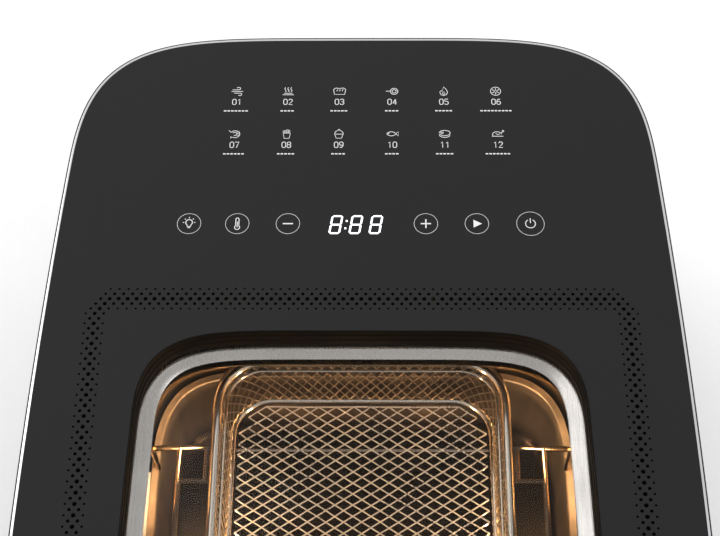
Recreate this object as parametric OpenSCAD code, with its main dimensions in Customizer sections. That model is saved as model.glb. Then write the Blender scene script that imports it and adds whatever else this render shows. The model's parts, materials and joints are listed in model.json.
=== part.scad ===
// Countertop air fryer: glazed lid panel, front drawer with a drip pan, and a lift-out mesh basket.
// Z is up and the drawer faces -Y. The origin is the middle of the footprint on the table.
// Depths are measured down from the lid panel's face, and setbacks forward from the back edge.

/* [Body] */
// Width of the housing across its sides
body_w = 320; // [265:1:390]
// Depth of the housing from its back to the drawer's face
body_d = 420; // [350:1:505]
// Height of the lid panel's face above the table
body_h = 215; // [178:1:260]
// Length of the large rounding at each corner, along the depth
corner_len = 90; // [60:1:100]
// How much narrower the back is than the widest place, on each side
side_bow = 12; // [0:1:16]
// Wall thickness of the outer shell
wall_t = 2.5; // [1.5:0.1:4]
// Height of the rubber feet
foot_h = 8; // [4:0.5:20]
// Radius of the rubber feet where they meet the tray
foot_r = 13; // [9:0.5:20]

/* [Lid panel] */
// Thickness of the lid panel
panel_t = 3; // [2:0.1:5]
// Width of the polished trim ring
trim_w = 1.4; // [0.8:0.1:3]
// Width of the shell's lip outside the trim ring
lip_w = 0.6; // [0.4:0.1:1.5]
// Distance from the housing's side to the window at its widest
window_side = 50; // [45:1:60]
// Distance from the back edge to the window
window_setback = 181; // [170:1:195]
// Distance from the window to the front edge
window_front = 42; // [38:1:55]
// Length of the window's corner rounding
window_corner = 45; // [30:1:50]
// Centre line of the perforated band, outward from the window's edge
band_gap = 19; // [15:0.5:22]
// Spacing of the perforations along the band
hole_pitch = 4.45; // [4:0.05:7]
// Radius of the perforations in the band's middle row
hole_r = 1.1; // [0.6:0.1:1.6]

/* [Window] */
// Depth of the stepped bezel above the outer pane
bezel_depth = 12.6; // [6:0.2:16]
// Thickness of the outer pane
pane_t = 4; // [3:0.2:6]
// Thickness of the inner pane
inner_pane_t = 3.2; // [2.4:0.2:5]
// Height of the steel neck between the panes
neck_h = 10.4; // [6:0.2:14]
// Width of the bevel round the top of the steel neck
neck_bevel_w = 6.8; // [2:0.2:8]
// Drop of that bevel
neck_bevel_h = 1.8; // [0.6:0.2:4]

/* [Cavity] */
// Depth of the cavity's floor below the lid panel's face
cavity_depth = 148; // [135:1:155]
// Sheet thickness of the liner and the drip pan
sheet_t = 1.2; // [0.8:0.1:2]
// Depth of the drip pan's rim below the lid panel's face
pan_rim_depth = 80; // [75:1:95]
// Depth of the drip pan's floor below the lid panel's face
pan_floor_depth = 142; // [125:1:144]

/* [Basket] */
// Gap between the basket's rim and the cavity's side wall
basket_side_gap = 36; // [30:1:40]
// Setback of the basket's rim from the back edge
basket_setback = 171; // [168:1:176]
// Depth of the basket's rim below the lid panel's face
basket_rim_depth = 50; // [48:1:56]
// Height of the basket from its rim to its floor ring
basket_h = 37; // [24:1:44]
// How far the basket's wall leans in on each side
basket_taper = 4.5; // [2:0.5:12]
// Radius of the rolled rim
rim_r = 2.5; // [1.5:0.1:3.5]
// Radius of the basket's outer corners
basket_corner = 26; // [18:1:34]

/* [Drawer] */
// Distance from the housing's side to the drawer's face at its widest
drawer_side = 32; // [31:1:42]
// Height of the housing's front below the drawer
sill_h = 22; // [14:1:28]
// How far the handle stands out
handle_reach = 36; // [28:1:46]
// Length of the handle
handle_w = 170; // [120:2:190]
// Height of the handle's bar
handle_h = 18; // [12:1:26]

/* [Fan] */
// Depth of the fan's axis below the lid panel's face
fan_depth = 85; // [80:1:88]
// Radius of the convection fan
fan_r = 44; // [36:1:46]
// Radius of the fan's shaft
shaft_r = 3; // [2:0.1:4]
// Running clearance of the shaft in its bearings, on the radius
shaft_clearance = 0.05; // [0.02:0.01:0.1]
// Radius of the heater tube
heater_r = 3.2; // [2.5:0.1:4]
// Radius of the hole for the power cord in its gland
cord_r = 3.6; // [2.5:0.1:5]

/* [Hidden] */
$fn = 48;

steps = 20;
gap = 0.3;
fit = 0.05;
cut = 1;
shell_z = foot_h + 4;
y_back = (body_d + handle_reach) / 2;
y_front = y_back - body_d;

// Place of a setback, and of a depth below the panel's face
function at_d(setback) = y_back - setback;
function at_z(depth) = body_h - depth;

// Stations along one rounded end, closer together at the tip
function end_steps(len, m) = [for (i = [0:steps]) len * (1 - pow(cos(90 * i / steps), 2 / m))];
function end_factor(dist, len, m, n) = dist >= len ? 1 : pow(1 - pow(1 - dist / len, m), 1 / n);

// Half of a soft rectangle: [y, half width] from the back tip to the front tip
function soft_side(len, corner, m, n, half_w, bow) =
    let (
        back = end_steps(corner, m),
        middle = [for (i = [1:5]) corner + (len - 2 * corner) * i / 6],
        front = [for (i = [0:steps]) len - back[steps - i]],
        all = concat(back, middle, front)
    )
    [for (s = all) [-s, (half_w - bow * pow(max(0, 1 - s / (0.72 * len)), 2))
        * end_factor(min(s, len - s), corner, m, n)]];

module soft_rectangle(len, corner, m, n, half_w, bow) {
    side = soft_side(len, corner, m, n, half_w, bow);
    last = len(side) - 1;
    polygon(concat(
        [for (p = side) [p[1], p[0]]],
        [for (i = [1:last - 1]) [-side[last - i][1], side[last - i][0]]]));
}

// Housing's plan, moved in by an inset
module body_plan(inset = 0) {
    offset(delta = -inset)
        translate([0, y_back])
            soft_rectangle(body_d, corner_len, 3.2, 5, body_w / 2, side_bow);
}

module body_ring(inset, width) {
    difference() {
        body_plan(inset);
        body_plan(inset + width);
    }
}

// Window's plan, grown outward
window_len = body_d - window_setback - window_front;
window_half = body_w / 2 - window_side;
module window_plan(grow = 0) {
    offset(delta = grow)
        translate([0, at_d(window_setback)])
            soft_rectangle(window_len, window_corner, 2.5, 6.2, window_half, 2.5);
}

module window_ring(outer, inner) {
    difference() {
        window_plan(outer);
        window_plan(inner);
    }
}

module rounded_plan(w, d, r) {
    offset(r = r)
        square([w - 2 * r, d - 2 * r], center = true);
}

module slab(z, h) {
    translate([0, 0, z])
        linear_extrude(h)
            children();
}

module block(x0, x1, y0, y1, z0, z1) {
    translate([x0, y0, z0])
        cube([x1 - x0, y1 - y0, z1 - z0]);
}

// Cylinder along Y from one setback to a larger one
module rod_y(x, z, d0, d1, r) {
    translate([x, at_d(d1), z])
        rotate([-90, 0, 0])
            cylinder(h = d1 - d0, r = r);
}

// Cylinder along X
module rod_x(x0, x1, y, z, r) {
    translate([x0, y, z])
        rotate([0, 90, 0])
            cylinder(h = x1 - x0, r = r);
}

module both_sides() {
    children();
    mirror([1, 0, 0])
        children();
}

// Tube bent round a rounded rectangle, by its centre line
module tube_loop(w, d, corner, r) {
    for (sx = [0, 1], sy = [0, 1])
        mirror([sx, 0, 0])
            mirror([0, sy, 0])
                translate([w / 2 - corner, d / 2 - corner, 0])
                    rotate_extrude(angle = 90)
                        translate([corner, 0])
                            circle(r = r);
    for (s = [-1, 1]) {
        rod_x(-w / 2 + corner, w / 2 - corner, s * d / 2, 0, r);
        translate([s * w / 2, -d / 2 + corner, 0])
            rotate([-90, 0, 0])
                cylinder(h = d - 2 * corner, r = r);
    }
}

// ---- Heights of the window's stack ----
step_w = 0.4;
bezel_steps = 3;
step_h = bezel_depth / bezel_steps;
bezel_flange = 8;
pane_grow = 4;
pane_clearance = 0.2;
gasket_t = 1;
neck_depth = bezel_depth + pane_t + gasket_t;
inner_pane_depth = neck_depth + neck_h;
window_stack = inner_pane_depth + inner_pane_t;
neck_inset = bezel_steps * step_w;

// ---- Lid panel and shell ----
ledge_depth = panel_t + 3;
ledge_t = 3;
ledge_w = 9;
panel_inset = lip_w + trim_w;
front_gap = 1.5;
drawer_w = body_w - 2 * drawer_side;
drawer_bottom = shell_z + sill_h;
drawer_h = at_z(window_stack) - drawer_bottom;
opening_top = drawer_bottom + drawer_h + front_gap;
opening_x = drawer_w / 2 + front_gap;
seam_x = 100;
cover_w = 100;
cover_z = 46;
cover_h = at_z(fan_depth) + 36 - cover_z;
cover_lap = 8;
cover_frame_t = 3;
side_slots = 7;
slot_pitch = 9;
slot_w = 4;
slot_back = 56;
slot_h = 40;
slot_z = shell_z + 22;

module shell_openings() {
    block(-opening_x, opening_x, y_front - cut, y_front + corner_len,
        drawer_bottom - front_gap, opening_top);
    block(-cover_w / 2 - gap, cover_w / 2 + gap, y_back - wall_t - cut, y_back + cut,
        cover_z - gap, cover_z + cover_h + gap);
    for (i = [0:side_slots - 1])
        block(-body_w, body_w, at_d(slot_back + slot_w + i * slot_pitch),
            at_d(slot_back + i * slot_pitch), slot_z, slot_z + slot_h);
    rod_y(gland_x, gland_z, -cut, wall_t + cut, gland_r);
}

module cover_frame() {
    difference() {
        intersection() {
            slab(cover_z - cover_lap, cover_h + 2 * cover_lap)
                body_ring(wall_t, cover_frame_t);
            block(-cover_w / 2 - cover_lap, cover_w / 2 + cover_lap, y_back - corner_len, y_back,
                0, body_h);
        }
        block(-cover_w / 2 + cover_lap, cover_w / 2 - cover_lap, y_back - corner_len, y_back + cut,
            cover_z + cover_lap, cover_z + cover_h - cover_lap);
        cover_screw_places(screw_r + fit, cut, cover_frame_t + wall_t + cut);
    }
}

module shell_wall() {
    difference() {
        slab(shell_z, at_z(ledge_depth + ledge_t) - shell_z)
            body_ring(0, wall_t);
        shell_openings();
    }
}

module top_frame() {
    color("#2a2a2b") {
        slab(at_z(ledge_depth + ledge_t), ledge_t)
            body_ring(0, ledge_w);
        slab(at_z(ledge_depth), ledge_depth)
            body_ring(0, lip_w);
    }
}

module back_panel() {
    color("#2a2a2b") {
        intersection() {
            shell_wall();
            block(-seam_x, seam_x, y_back - corner_len, y_back + cut, 0, body_h);
        }
        cover_frame();
    }
}

module side_panel() {
    intersection() {
        shell_wall();
        union() {
            block(opening_x, body_w, y_front - cut, y_back - corner_len, 0, body_h);
            block(seam_x, body_w, y_back - corner_len, y_back + cut, 0, body_h);
        }
    }
}

module side_panel_right() {
    color("#2a2a2b")
        side_panel();
}

module side_panel_left() {
    color("#2a2a2b")
        mirror([1, 0, 0])
            side_panel();
}

// Strips of the front wall below and above the drawer
module front_frame() {
    color("#2a2a2b")
        intersection() {
            shell_wall();
            block(-opening_x, opening_x, y_front - cut, y_front + corner_len, 0, body_h);
        }
}

// Perforations in the middle row of the band round the window
band_half = window_half + band_gap + 2;
band_len = window_len + 2 * band_gap - 2;
band_corner = 12;
module band_holes() {
    across = floor((band_half - band_corner) / hole_pitch);
    along = floor((band_len / 2 - band_corner) / hole_pitch);
    translate([0, at_d(window_setback + window_len / 2)])
        for (s = [-1, 1]) {
            for (i = [-across:across])
                translate([i * hole_pitch, s * band_len / 2])
                    circle(r = hole_r, $fn = 24);
            for (i = [-along:along])
                translate([s * band_half, i * hole_pitch])
                    circle(r = hole_r, $fn = 24);
        }
}

rim_w = 3;
module top_panel() {
    color("#303031") {
        slab(at_z(panel_t), panel_t)
            difference() {
                body_plan(panel_inset);
                window_plan();
                band_holes();
            }
        slab(at_z(ledge_depth), ledge_depth - panel_t)
            body_ring(panel_inset, rim_w);
    }
}

module trim_ring() {
    color("#d9d9da")
        slab(at_z(ledge_depth), ledge_depth)
            body_ring(lip_w, trim_w);
}

// ---- Window ----
module window_bezel() {
    color("#1d1d1e") {
        slab(at_z(panel_t), panel_t)
            window_ring(0, -step_w);
        slab(at_z(step_h), step_h - panel_t)
            window_ring(bezel_flange, -step_w);
        for (i = [2:bezel_steps])
            slab(at_z(i * step_h), step_h)
                window_ring(bezel_flange, -i * step_w);
        slab(at_z(window_stack), window_stack - bezel_depth)
            window_ring(bezel_flange, pane_grow + pane_clearance);
    }
}

module window_glass() {
    color("#9fb0b0", 0.35)
        slab(at_z(bezel_depth + pane_t), pane_t)
            window_plan(pane_grow);
}

module window_gasket() {
    color("#141414")
        slab(at_z(neck_depth), gasket_t)
            window_ring(pane_grow, -neck_inset / 2);
}

module window_neck() {
    color("#c9cacb")
        difference() {
            slab(at_z(inner_pane_depth), neck_h)
                window_plan(pane_grow);
            slab(at_z(inner_pane_depth) - cut, neck_h + 2 * cut)
                window_plan(-neck_inset - neck_bevel_w);
            hull() {
                slab(at_z(neck_depth), cut)
                    window_plan(-neck_inset);
                slab(at_z(neck_depth + neck_bevel_h) - gap, gap)
                    window_plan(-neck_inset - neck_bevel_w);
            }
        }
}

module inner_glass() {
    color("#a8b4b4", 0.35)
        slab(at_z(window_stack), inner_pane_t)
            window_plan(pane_grow);
}

// ---- Cavity ----
liner_half = window_half + 2;
liner_setback = window_setback - 19;
liner_front = body_d - 21;
liner_corner = 60;
liner_top = window_stack;
seat_w = 3;
seal_t = 1;
guard_r = fan_r + 8;

// Cavity's plan: rounded at the back and straight at the front, moved out by a grow
module liner_plan(grow = 0) {
    intersection() {
        offset(delta = grow)
            translate([0, at_d(liner_setback)])
                soft_rectangle(2 * (liner_front - liner_setback), liner_corner, 2.6, 7,
                    liner_half, 0);
        translate([-body_w / 2, at_d(liner_front)])
            square([body_w, liner_front - liner_setback + liner_corner]);
    }
}

module cavity_liner() {
    color("#bcbcbd")
        difference() {
            union() {
                slab(at_z(cavity_depth + sheet_t), cavity_depth - liner_top)
                    liner_plan(sheet_t);
                slab(at_z(liner_top + sheet_t), sheet_t)
                    hull() {
                        window_plan(bezel_flange + 1);
                        liner_plan(sheet_t);
                    }
                block(-opening_x + 2, opening_x - 2, at_d(liner_front),
                    at_d(liner_front - sheet_t), at_z(cavity_depth + sheet_t), at_z(liner_top));
            }
            slab(at_z(cavity_depth), cavity_depth - liner_top - sheet_t)
                liner_plan();
            translate([0, -sheet_t - cut, 0])
                slab(at_z(cavity_depth), cavity_depth - liner_top - sheet_t)
                    intersection() {
                        liner_plan();
                        translate([-body_w, at_d(liner_front)])
                            square([2 * body_w, 2 * sheet_t + 2 * cut]);
                    }
            slab(at_z(liner_top + sheet_t + cut), sheet_t + 2 * cut)
                window_plan(-seat_w);
            rod_y(0, at_z(fan_depth), liner_setback - sheet_t - cut, liner_setback + cut,
                guard_r - 6);
            rod_y(probe_x, at_z(probe_depth), liner_setback - corner_len, liner_setback + corner_len / 2,
                probe_r + fit);
            for (s = [-1, 1])
                rod_x(s > 0 ? liner_half - cut : -liner_half - sheet_t - cut,
                    s > 0 ? liner_half + sheet_t + cut : -liner_half + cut,
                    at_d(lamp_d), at_z(lamp_depth), lamp_r + fit);
        }
}

pan_gap = 5;
pan_half = liner_half - pan_gap;
pan_setback = liner_setback + 4;
pan_front = body_d - 20;
pan_lip = 3;
rail_t = 3.5;
rail_clearance = gap + 0.5;
rail_top = at_z(pan_rim_depth + sheet_t + gap);

module drawer_rails() {
    color("#8f9092")
        both_sides()
            block(pan_half + rail_clearance, liner_half, at_d(liner_front - 1),
                at_d(liner_setback + liner_corner), rail_top - rail_t, rail_top);
}

guard_slots = 24;
guard_rings = 3;
guard_slot_len = 8;
guard_slot_r = 14;
guard_ring_pitch = 12;
module fan_guard() {
    color("#a9aaab")
        difference() {
            intersection() {
                rod_y(0, at_z(fan_depth), liner_setback, liner_setback + sheet_t, guard_r - 1);
                slab(0, at_z(liner_top + sheet_t) - fit)
                    liner_plan();
            }
            for (ring = [0:guard_rings - 1], i = [0:guard_slots - 1])
                translate([0, 0, at_z(fan_depth)])
                    rotate([0, (i + ring / 2) * 360 / guard_slots, 0])
                        translate([guard_slot_r + ring * guard_ring_pitch,
                            at_d(liner_setback + sheet_t + cut), -shaft_r / 3])
                            cube([guard_slot_len, sheet_t + 2 * cut, 1 + 0.4 * ring]);
            rod_y(0, at_z(fan_depth), liner_setback - cut, liner_setback + sheet_t + cut,
                shaft_r + 1);
        }
}

// ---- Lamps, probe and insulation ----
lamp_d = body_d - 100;
lamp_depth = 62;
lamp_r = 14;
lamp_len = 16;
lens_t = 2;
probe_x = 60;
probe_depth = 41;
probe_r = 2;
insulation_t = 6;

module lamp() {
    lamp_x = liner_half + sheet_t;
    translate([0, at_d(lamp_d), at_z(lamp_depth)])
        rotate([0, 90, 0]) {
            difference() {
                translate([0, 0, lamp_x])
                    cylinder(h = lamp_len, r = lamp_r + 3);
                translate([0, 0, lamp_x - cut])
                    cylinder(h = lamp_len - 2 + cut, r = lamp_r - 1);
            }
            translate([0, 0, lamp_x + 4])
                cylinder(h = lamp_len - 4.5, r = 4.5);
        }
}

module lamp_lens() {
    translate([0, at_d(lamp_d), at_z(lamp_depth)])
        rotate([0, 90, 0])
            translate([0, 0, liner_half - lens_t])
                cylinder(h = lens_t + sheet_t, r = lamp_r);
}

module lamp_right() {
    color("#c8a060")
        lamp();
}

module lamp_left() {
    color("#c8a060")
        mirror([1, 0, 0])
            lamp();
}

module lamp_lens_right() {
    color("#ffe0a8", 0.6)
        lamp_lens();
}

module lamp_lens_left() {
    color("#ffe0a8", 0.6)
        mirror([1, 0, 0])
            lamp_lens();
}

module temperature_probe() {
    color("#c4c4c4") {
        rod_y(probe_x, at_z(probe_depth), liner_setback - 14, liner_setback + 5, probe_r);
        rod_y(probe_x, at_z(probe_depth), liner_setback - 20, liner_setback - 14, 2 * probe_r);
    }
}

module side_insulation() {
    color("#cfcab8")
        both_sides()
            difference() {
                block(liner_half + sheet_t, liner_half + sheet_t + insulation_t,
                    at_d(liner_front - 18), at_d(liner_setback + liner_corner + 6),
                    at_z(cavity_depth - 6), at_z(liner_top + 12));
                rod_x(liner_half, liner_half + 2 * insulation_t, at_d(lamp_d), at_z(lamp_depth),
                    lamp_r + 3.5);
            }
}

// ---- Rear fan and heater ----
shroud_r = guard_r + 12;
shroud_back = liner_setback - 34;
motor_front = shroud_back - 6;
motor_len = 26;
motor_r = 30;
bearing_r = 8;
bearing_t = 5;
heater_ring_r = fan_r + 3 + 2 * heater_r;
fan_z = at_z(fan_depth);
blades = 8;

module fan_shroud() {
    color("#9fa0a1")
        difference() {
            rod_y(0, fan_z, shroud_back, liner_setback - sheet_t, shroud_r);
            rod_y(0, fan_z, shroud_back + sheet_t, liner_setback, shroud_r - sheet_t);
            rod_y(0, fan_z, shroud_back - cut, shroud_back + 2 * sheet_t, shaft_r + 2);
        }
}

module heater_ring() {
    color("#5b5350")
        for (row = [0, 1])
            translate([0, at_d(shroud_back + 12 + row * 9), fan_z])
                rotate([90, 0, 0])
                    rotate_extrude()
                        translate([heater_ring_r, 0])
                            circle(r = heater_r, $fn = 24);
    color("#5b5350")
        for (s = [-1, 1])
            rod_y(s * heater_ring_r, fan_z, shroud_back + sheet_t, shroud_back + 21,
                heater_r - 0.4);
}

module fan_motor() {
    color("#6d6f72")
        difference() {
            rod_y(0, fan_z, motor_front - motor_len, motor_front, motor_r);
            rod_y(0, fan_z, motor_front - motor_len - cut, motor_front + cut, shaft_r + 1.5);
            rod_y(0, fan_z, motor_front - bearing_t, motor_front + cut, bearing_r);
            rod_y(0, fan_z, motor_front - motor_len - cut, motor_front - motor_len + bearing_t,
                bearing_r);
        }
}

module shaft_bearings() {
    color("#b8b09a")
        for (d = [motor_front - motor_len, motor_front - bearing_t])
            difference() {
                rod_y(0, fan_z, d, d + bearing_t, bearing_r);
                rod_y(0, fan_z, d - cut, d + bearing_t + cut, shaft_r + shaft_clearance);
            }
}

bracket_t = 2;
post_x = 38;
module motor_bracket() {
    color("#8c8d8f")
        difference() {
            union() {
                block(-post_x - 6, post_x + 6, at_d(motor_front + bracket_t), at_d(motor_front),
                    fan_z - post_x - 6, fan_z + post_x + 6);
                for (sx = [-1, 1], sz = [-1, 1])
                    rod_y(sx * post_x, fan_z + sz * post_x, motor_front, shroud_back, 4);
            }
            rod_y(0, fan_z, motor_front - cut, motor_front + bracket_t + cut, shaft_r + 4);
        }
}

nut_r = 5;
fan_front = liner_setback - 5;
module fan_shaft() {
    color("#c8c8c8")
        rod_y(0, fan_z, motor_front - motor_len - 12, fan_front + 4, shaft_r);
}

// Bladed wheel with a bored hub, between two setbacks
module bladed_wheel(d0, d1, r, plate_at) {
    difference() {
        union() {
            rod_y(0, fan_z, d0, d1, 9);
            rod_y(0, fan_z, plate_at, plate_at + 1.2, r);
            for (i = [0:blades - 1])
                translate([0, 0, fan_z])
                    rotate([0, i * 360 / blades, 0])
                        translate([6, at_d(d1), -0.8])
                            rotate([0, 12, 0])
                                cube([r - 8, d1 - d0, 1.6]);
        }
        rod_y(0, fan_z, d0 - cut, d1 + cut, shaft_r);
    }
}

module convection_fan() {
    color("#9a9b9c")
        bladed_wheel(fan_front - 18, fan_front - 2, fan_r, fan_front - 18);
}

module cooling_fan() {
    color("#4a4b4d")
        bladed_wheel(motor_front - motor_len - 11, motor_front - motor_len - 3, motor_r + 2,
            motor_front - motor_len - 4.2);
}

module fan_nut() {
    color("#d0c090")
        difference() {
            rod_y(0, fan_z, fan_front - 2, fan_front + 2.5, nut_r);
            rod_y(0, fan_z, fan_front - 2 - cut, fan_front + 2.5 + cut, shaft_r);
        }
}

module thermal_cutout() {
    color("#e8e0d0")
        difference() {
            rod_y(shroud_r - 14, fan_z, shroud_back - 3.5, shroud_back, 8);
            rod_y(shroud_r - 14, fan_z, shroud_back - 3.5 - cut, shroud_back - 2, 5);
        }
}

duct_half = 40;
duct_t = 1.5;
module cooling_duct() {
    color("#3a3a3c")
        difference() {
            block(-duct_half, duct_half, at_d(motor_front - motor_len - 14),
                at_d(wall_t + cover_frame_t + 1), fan_z - duct_half, fan_z + duct_half);
            block(-duct_half + duct_t, duct_half - duct_t,
                at_d(motor_front - motor_len - 14) - cut, at_d(wall_t + cover_frame_t + 1) + cut,
                fan_z - duct_half + duct_t, fan_z + duct_half - duct_t);
        }
    color("#3a3a3c")
        for (sx = [-1, 1])
            block(sx * (duct_half - 2) - 2, sx * (duct_half - 2) + 2,
                at_d(motor_front), at_d(motor_front - motor_len - 14),
                fan_z - duct_half + 1, fan_z - duct_half + 5);
}

// ---- Electronics ----
board_t = 1.6;
touch_half = 100;
touch_back = 26;
touch_front = 130;
display_d = 119.7;
display_x = -1;
display_w = 32;
display_l = 15;
display_t = 6;
module touch_board() {
    color("#1f5a3a")
        difference() {
            block(-touch_half, touch_half, at_d(touch_front), at_d(touch_back),
                at_z(panel_t + board_t), at_z(panel_t));
            block(display_x - display_w / 2 - gap, display_x + display_w / 2 + gap,
                at_d(display_d + display_l / 2) - gap, at_d(display_d - display_l / 2) + gap,
                at_z(panel_t + board_t + cut), at_z(panel_t - cut));
        }
}

module display_module() {
    color("#e8e8e8")
        block(display_x - display_w / 2, display_x + display_w / 2,
            at_d(display_d + display_l / 2), at_d(display_d - display_l / 2),
            at_z(panel_t + display_t), at_z(panel_t));
}

control_depth = 16;
control_half = 80;
control_back = 34;
control_front = 96;
chip_half = 14;
chip_d = 64;
chip_t = 3;
standoff_r = 3;
edge_gap = 6;
module control_board() {
    color("#1f5a3a")
        block(-control_half, control_half, at_d(control_front), at_d(control_back),
            at_z(control_depth + board_t), at_z(control_depth));
    color("#202020") {
        for (sx = [-1, 1], d = [control_back + edge_gap, control_front - edge_gap])
            translate([sx * (control_half - edge_gap), at_d(d), at_z(control_depth)])
                cylinder(h = control_depth - panel_t - board_t, r = standoff_r);
        block(-chip_half, chip_half, at_d(chip_d + chip_half / 2), at_d(chip_d - chip_half / 2),
            at_z(control_depth), at_z(control_depth - chip_t));
    }
}

power_half = 70;
power_back = 34;
power_front = 112;
power_lift = 8;
power_z = shell_z + power_lift + board_t;
relay = [-60, -32, 46, 70, 20];
transformer = [20, 56, 78, 104, 16];
capacitor_r = 5.5;
capacitor_h = 20;
module power_board() {
    color("#24603e")
        block(-power_half, power_half, at_d(power_front), at_d(power_back),
            power_z - board_t, power_z);
    color("#303030") {
        for (part = [relay, transformer])
            block(part[0], part[1], at_d(part[3]), at_d(part[2]), power_z, power_z + part[4]);
        for (i = [-1:1])
            translate([i * 15 - 3, at_d(58), power_z])
                cylinder(h = capacitor_h, r = capacitor_r);
    }
    color("#303030")
        for (sx = [-1, 1], d = [power_back + edge_gap, power_front - edge_gap])
            translate([sx * (power_half - edge_gap), at_d(d), shell_z])
                cylinder(h = power_lift, r = standoff_r);
}

// ---- Rear cover and cord entry ----
screw_r = 1.5;
screw_head_r = 3;
gland_x = -34;
gland_z = shell_z + 12;
gland_r = 7;
gland_len = 18;
flange_t = 3;

module cover_screw_places(r, d0, d1) {
    for (sx = [-1, 1], sz = [0, 1])
        rod_y(sx * (cover_w / 2 - cover_lap / 2),
            cover_z + cover_lap / 2 + sz * (cover_h - cover_lap), d0, d1, r);
}

vent_pitch = 10.5;
vent_z = 16;
vent_h = 4;
vent_inset = 14;
cover_slots = floor((cover_h - 2 * vent_z + 2) / vent_pitch) + 1;
module rear_cover() {
    color("#232324")
        difference() {
            intersection() {
                slab(cover_z, cover_h)
                    body_ring(0, wall_t);
                block(-cover_w / 2, cover_w / 2, y_back - corner_len, y_back, 0, body_h);
            }
            for (i = [0:cover_slots - 1])
                block(-cover_w / 2 + vent_inset, cover_w / 2 - vent_inset, y_back - wall_t - cut,
                    y_back + cut, cover_z + vent_z + i * vent_pitch,
                    cover_z + vent_z + vent_h + i * vent_pitch);
            cover_screw_places(screw_r + fit, -cut, wall_t + cut);
            cover_screw_places(screw_head_r + fit, -cut, 1);
        }
}

module rear_cover_screws() {
    color("#b0b0b0") {
        cover_screw_places(screw_head_r, 0.2, 1);
        cover_screw_places(screw_r, 1, wall_t + cover_frame_t + 2);
    }
}

module cord_gland() {
    color("#1b1b1b")
        difference() {
            union() {
                rod_y(gland_x, gland_z, 0.4, gland_len, gland_r);
                rod_y(gland_x, gland_z, wall_t + 2 * fit, wall_t + flange_t, gland_r + 2.5);
            }
            rod_y(gland_x, gland_z, 0.4 - cut, gland_len + cut, cord_r);
        }
}

// ---- Base ----
tray_t = shell_z - foot_h;
tray_inset = 1.5;
post_r = 6;
foot_x = body_w / 2 - 50;
foot_back = 46;
foot_front = body_d - 46;
foot_screw_r = 2;

module foot_places() {
    for (sx = [-1, 1], d = [foot_back, foot_front])
        translate([sx * foot_x, at_d(d), 0])
            children();
}

module base_tray() {
    color("#222223")
        difference() {
            union() {
                slab(foot_h, tray_t)
                    body_plan(tray_inset);
                for (sx = [-1, 1], d = [liner_setback + 45, liner_front - 35])
                    translate([sx * (pan_half - 30), at_d(d), shell_z])
                        cylinder(h = at_z(cavity_depth + sheet_t) - shell_z, r = post_r);
                foot_places()
                    translate([0, 0, shell_z])
                        cylinder(h = 8, r = post_r);
            }
            foot_places()
                translate([0, 0, foot_h - cut])
                    cylinder(h = tray_t + 7 + cut, r = foot_screw_r + fit);
            for (i = [-5:5])
                block(i * 12 - 2.5, i * 12 + 2.5, at_d(30), at_d(14), foot_h - cut,
                    shell_z + cut);
        }
}

module foot_pads() {
    color("#161616")
        foot_places()
            difference() {
                cylinder(h = foot_h, r1 = foot_r - 2, r2 = foot_r);
                translate([0, 0, -cut])
                    cylinder(h = foot_h + 2 * cut, r = foot_screw_r + fit);
                translate([0, 0, -cut])
                    cylinder(h = foot_h / 2 + cut, r = 2 * foot_screw_r + 1);
            }
}

module foot_screws() {
    color("#b4b4b4")
        foot_places() {
            translate([0, 0, foot_h / 2 - 2])
                cylinder(h = 2, r = 2 * foot_screw_r);
            translate([0, 0, foot_h / 2])
                cylinder(h = foot_h / 2 + tray_t + 5, r = foot_screw_r);
        }
}

// ---- Drawer ----
face_t = 3;
plate_t = 2;
plate_back = body_d - 20;
plate_half = drawer_w / 2 - 6;
boss_x = handle_w / 2 - 15;
handle_z = drawer_bottom + drawer_h - 46;
bar_t = 14;
boss_r = 6;

module drawer_front() {
    color("#2b2b2c")
        difference() {
            intersection() {
                slab(drawer_bottom, drawer_h)
                    body_ring(0, face_t);
                block(-drawer_w / 2, drawer_w / 2, y_front - cut, y_front + corner_len, 0, body_h);
            }
            for (s = [-1, 1])
                rod_y(s * boss_x, handle_z, body_d - face_t - cut, body_d + cut,
                    foot_screw_r + fit);
        }
}

module drawer_inner_plate() {
    color("#3b3b3d")
        difference() {
            union() {
                block(-plate_half, plate_half, at_d(plate_back + plate_t), at_d(plate_back),
                    drawer_bottom + 3, drawer_bottom + drawer_h - 3);
                intersection() {
                    for (sx = [-1, 1], z = [handle_z, drawer_bottom + 20])
                        rod_y(sx * boss_x, z, plate_back, body_d, boss_r);
                    slab(0, body_h)
                        body_plan(face_t);
                }
            }
            for (s = [-1, 1])
                rod_y(s * boss_x, handle_z, plate_back - cut, body_d - face_t + cut,
                    foot_screw_r + fit);
            for (s = [-1, 1])
                rod_y(s * boss_x, handle_z, plate_back - cut, plate_back + 3,
                    2 * foot_screw_r + fit);
        }
}

module drawer_seal() {
    color("#3a2320")
        difference() {
            block(-liner_half - 9, liner_half + 9, at_d(plate_back),
                at_d(plate_back - seal_t + gap), drawer_bottom + 3, drawer_bottom + drawer_h - 5);
            block(-liner_half - 1, liner_half + 1, at_d(plate_back) - cut,
                at_d(plate_back - seal_t) + cut, at_z(cavity_depth - 1),
                drawer_bottom + drawer_h - 10);
        }
}

module drawer_handle() {
    color("#26262a")
        difference() {
            translate([0, 0, handle_z - handle_h / 2])
                linear_extrude(handle_h)
                    translate([0, y_front])
                        difference() {
                            translate([0, -handle_reach / 2])
                                rounded_plan(handle_w, handle_reach, 10);
                            translate([0, -(handle_reach - bar_t) / 2 + 10])
                                rounded_plan(handle_w - 44, handle_reach - bar_t + 20, 8);
                            translate([-handle_w, 0])
                                square([2 * handle_w, handle_reach]);
                        }
            for (s = [-1, 1])
                rod_y(s * boss_x, handle_z, body_d - cut, body_d + 12, foot_screw_r + fit);
        }
}

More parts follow.
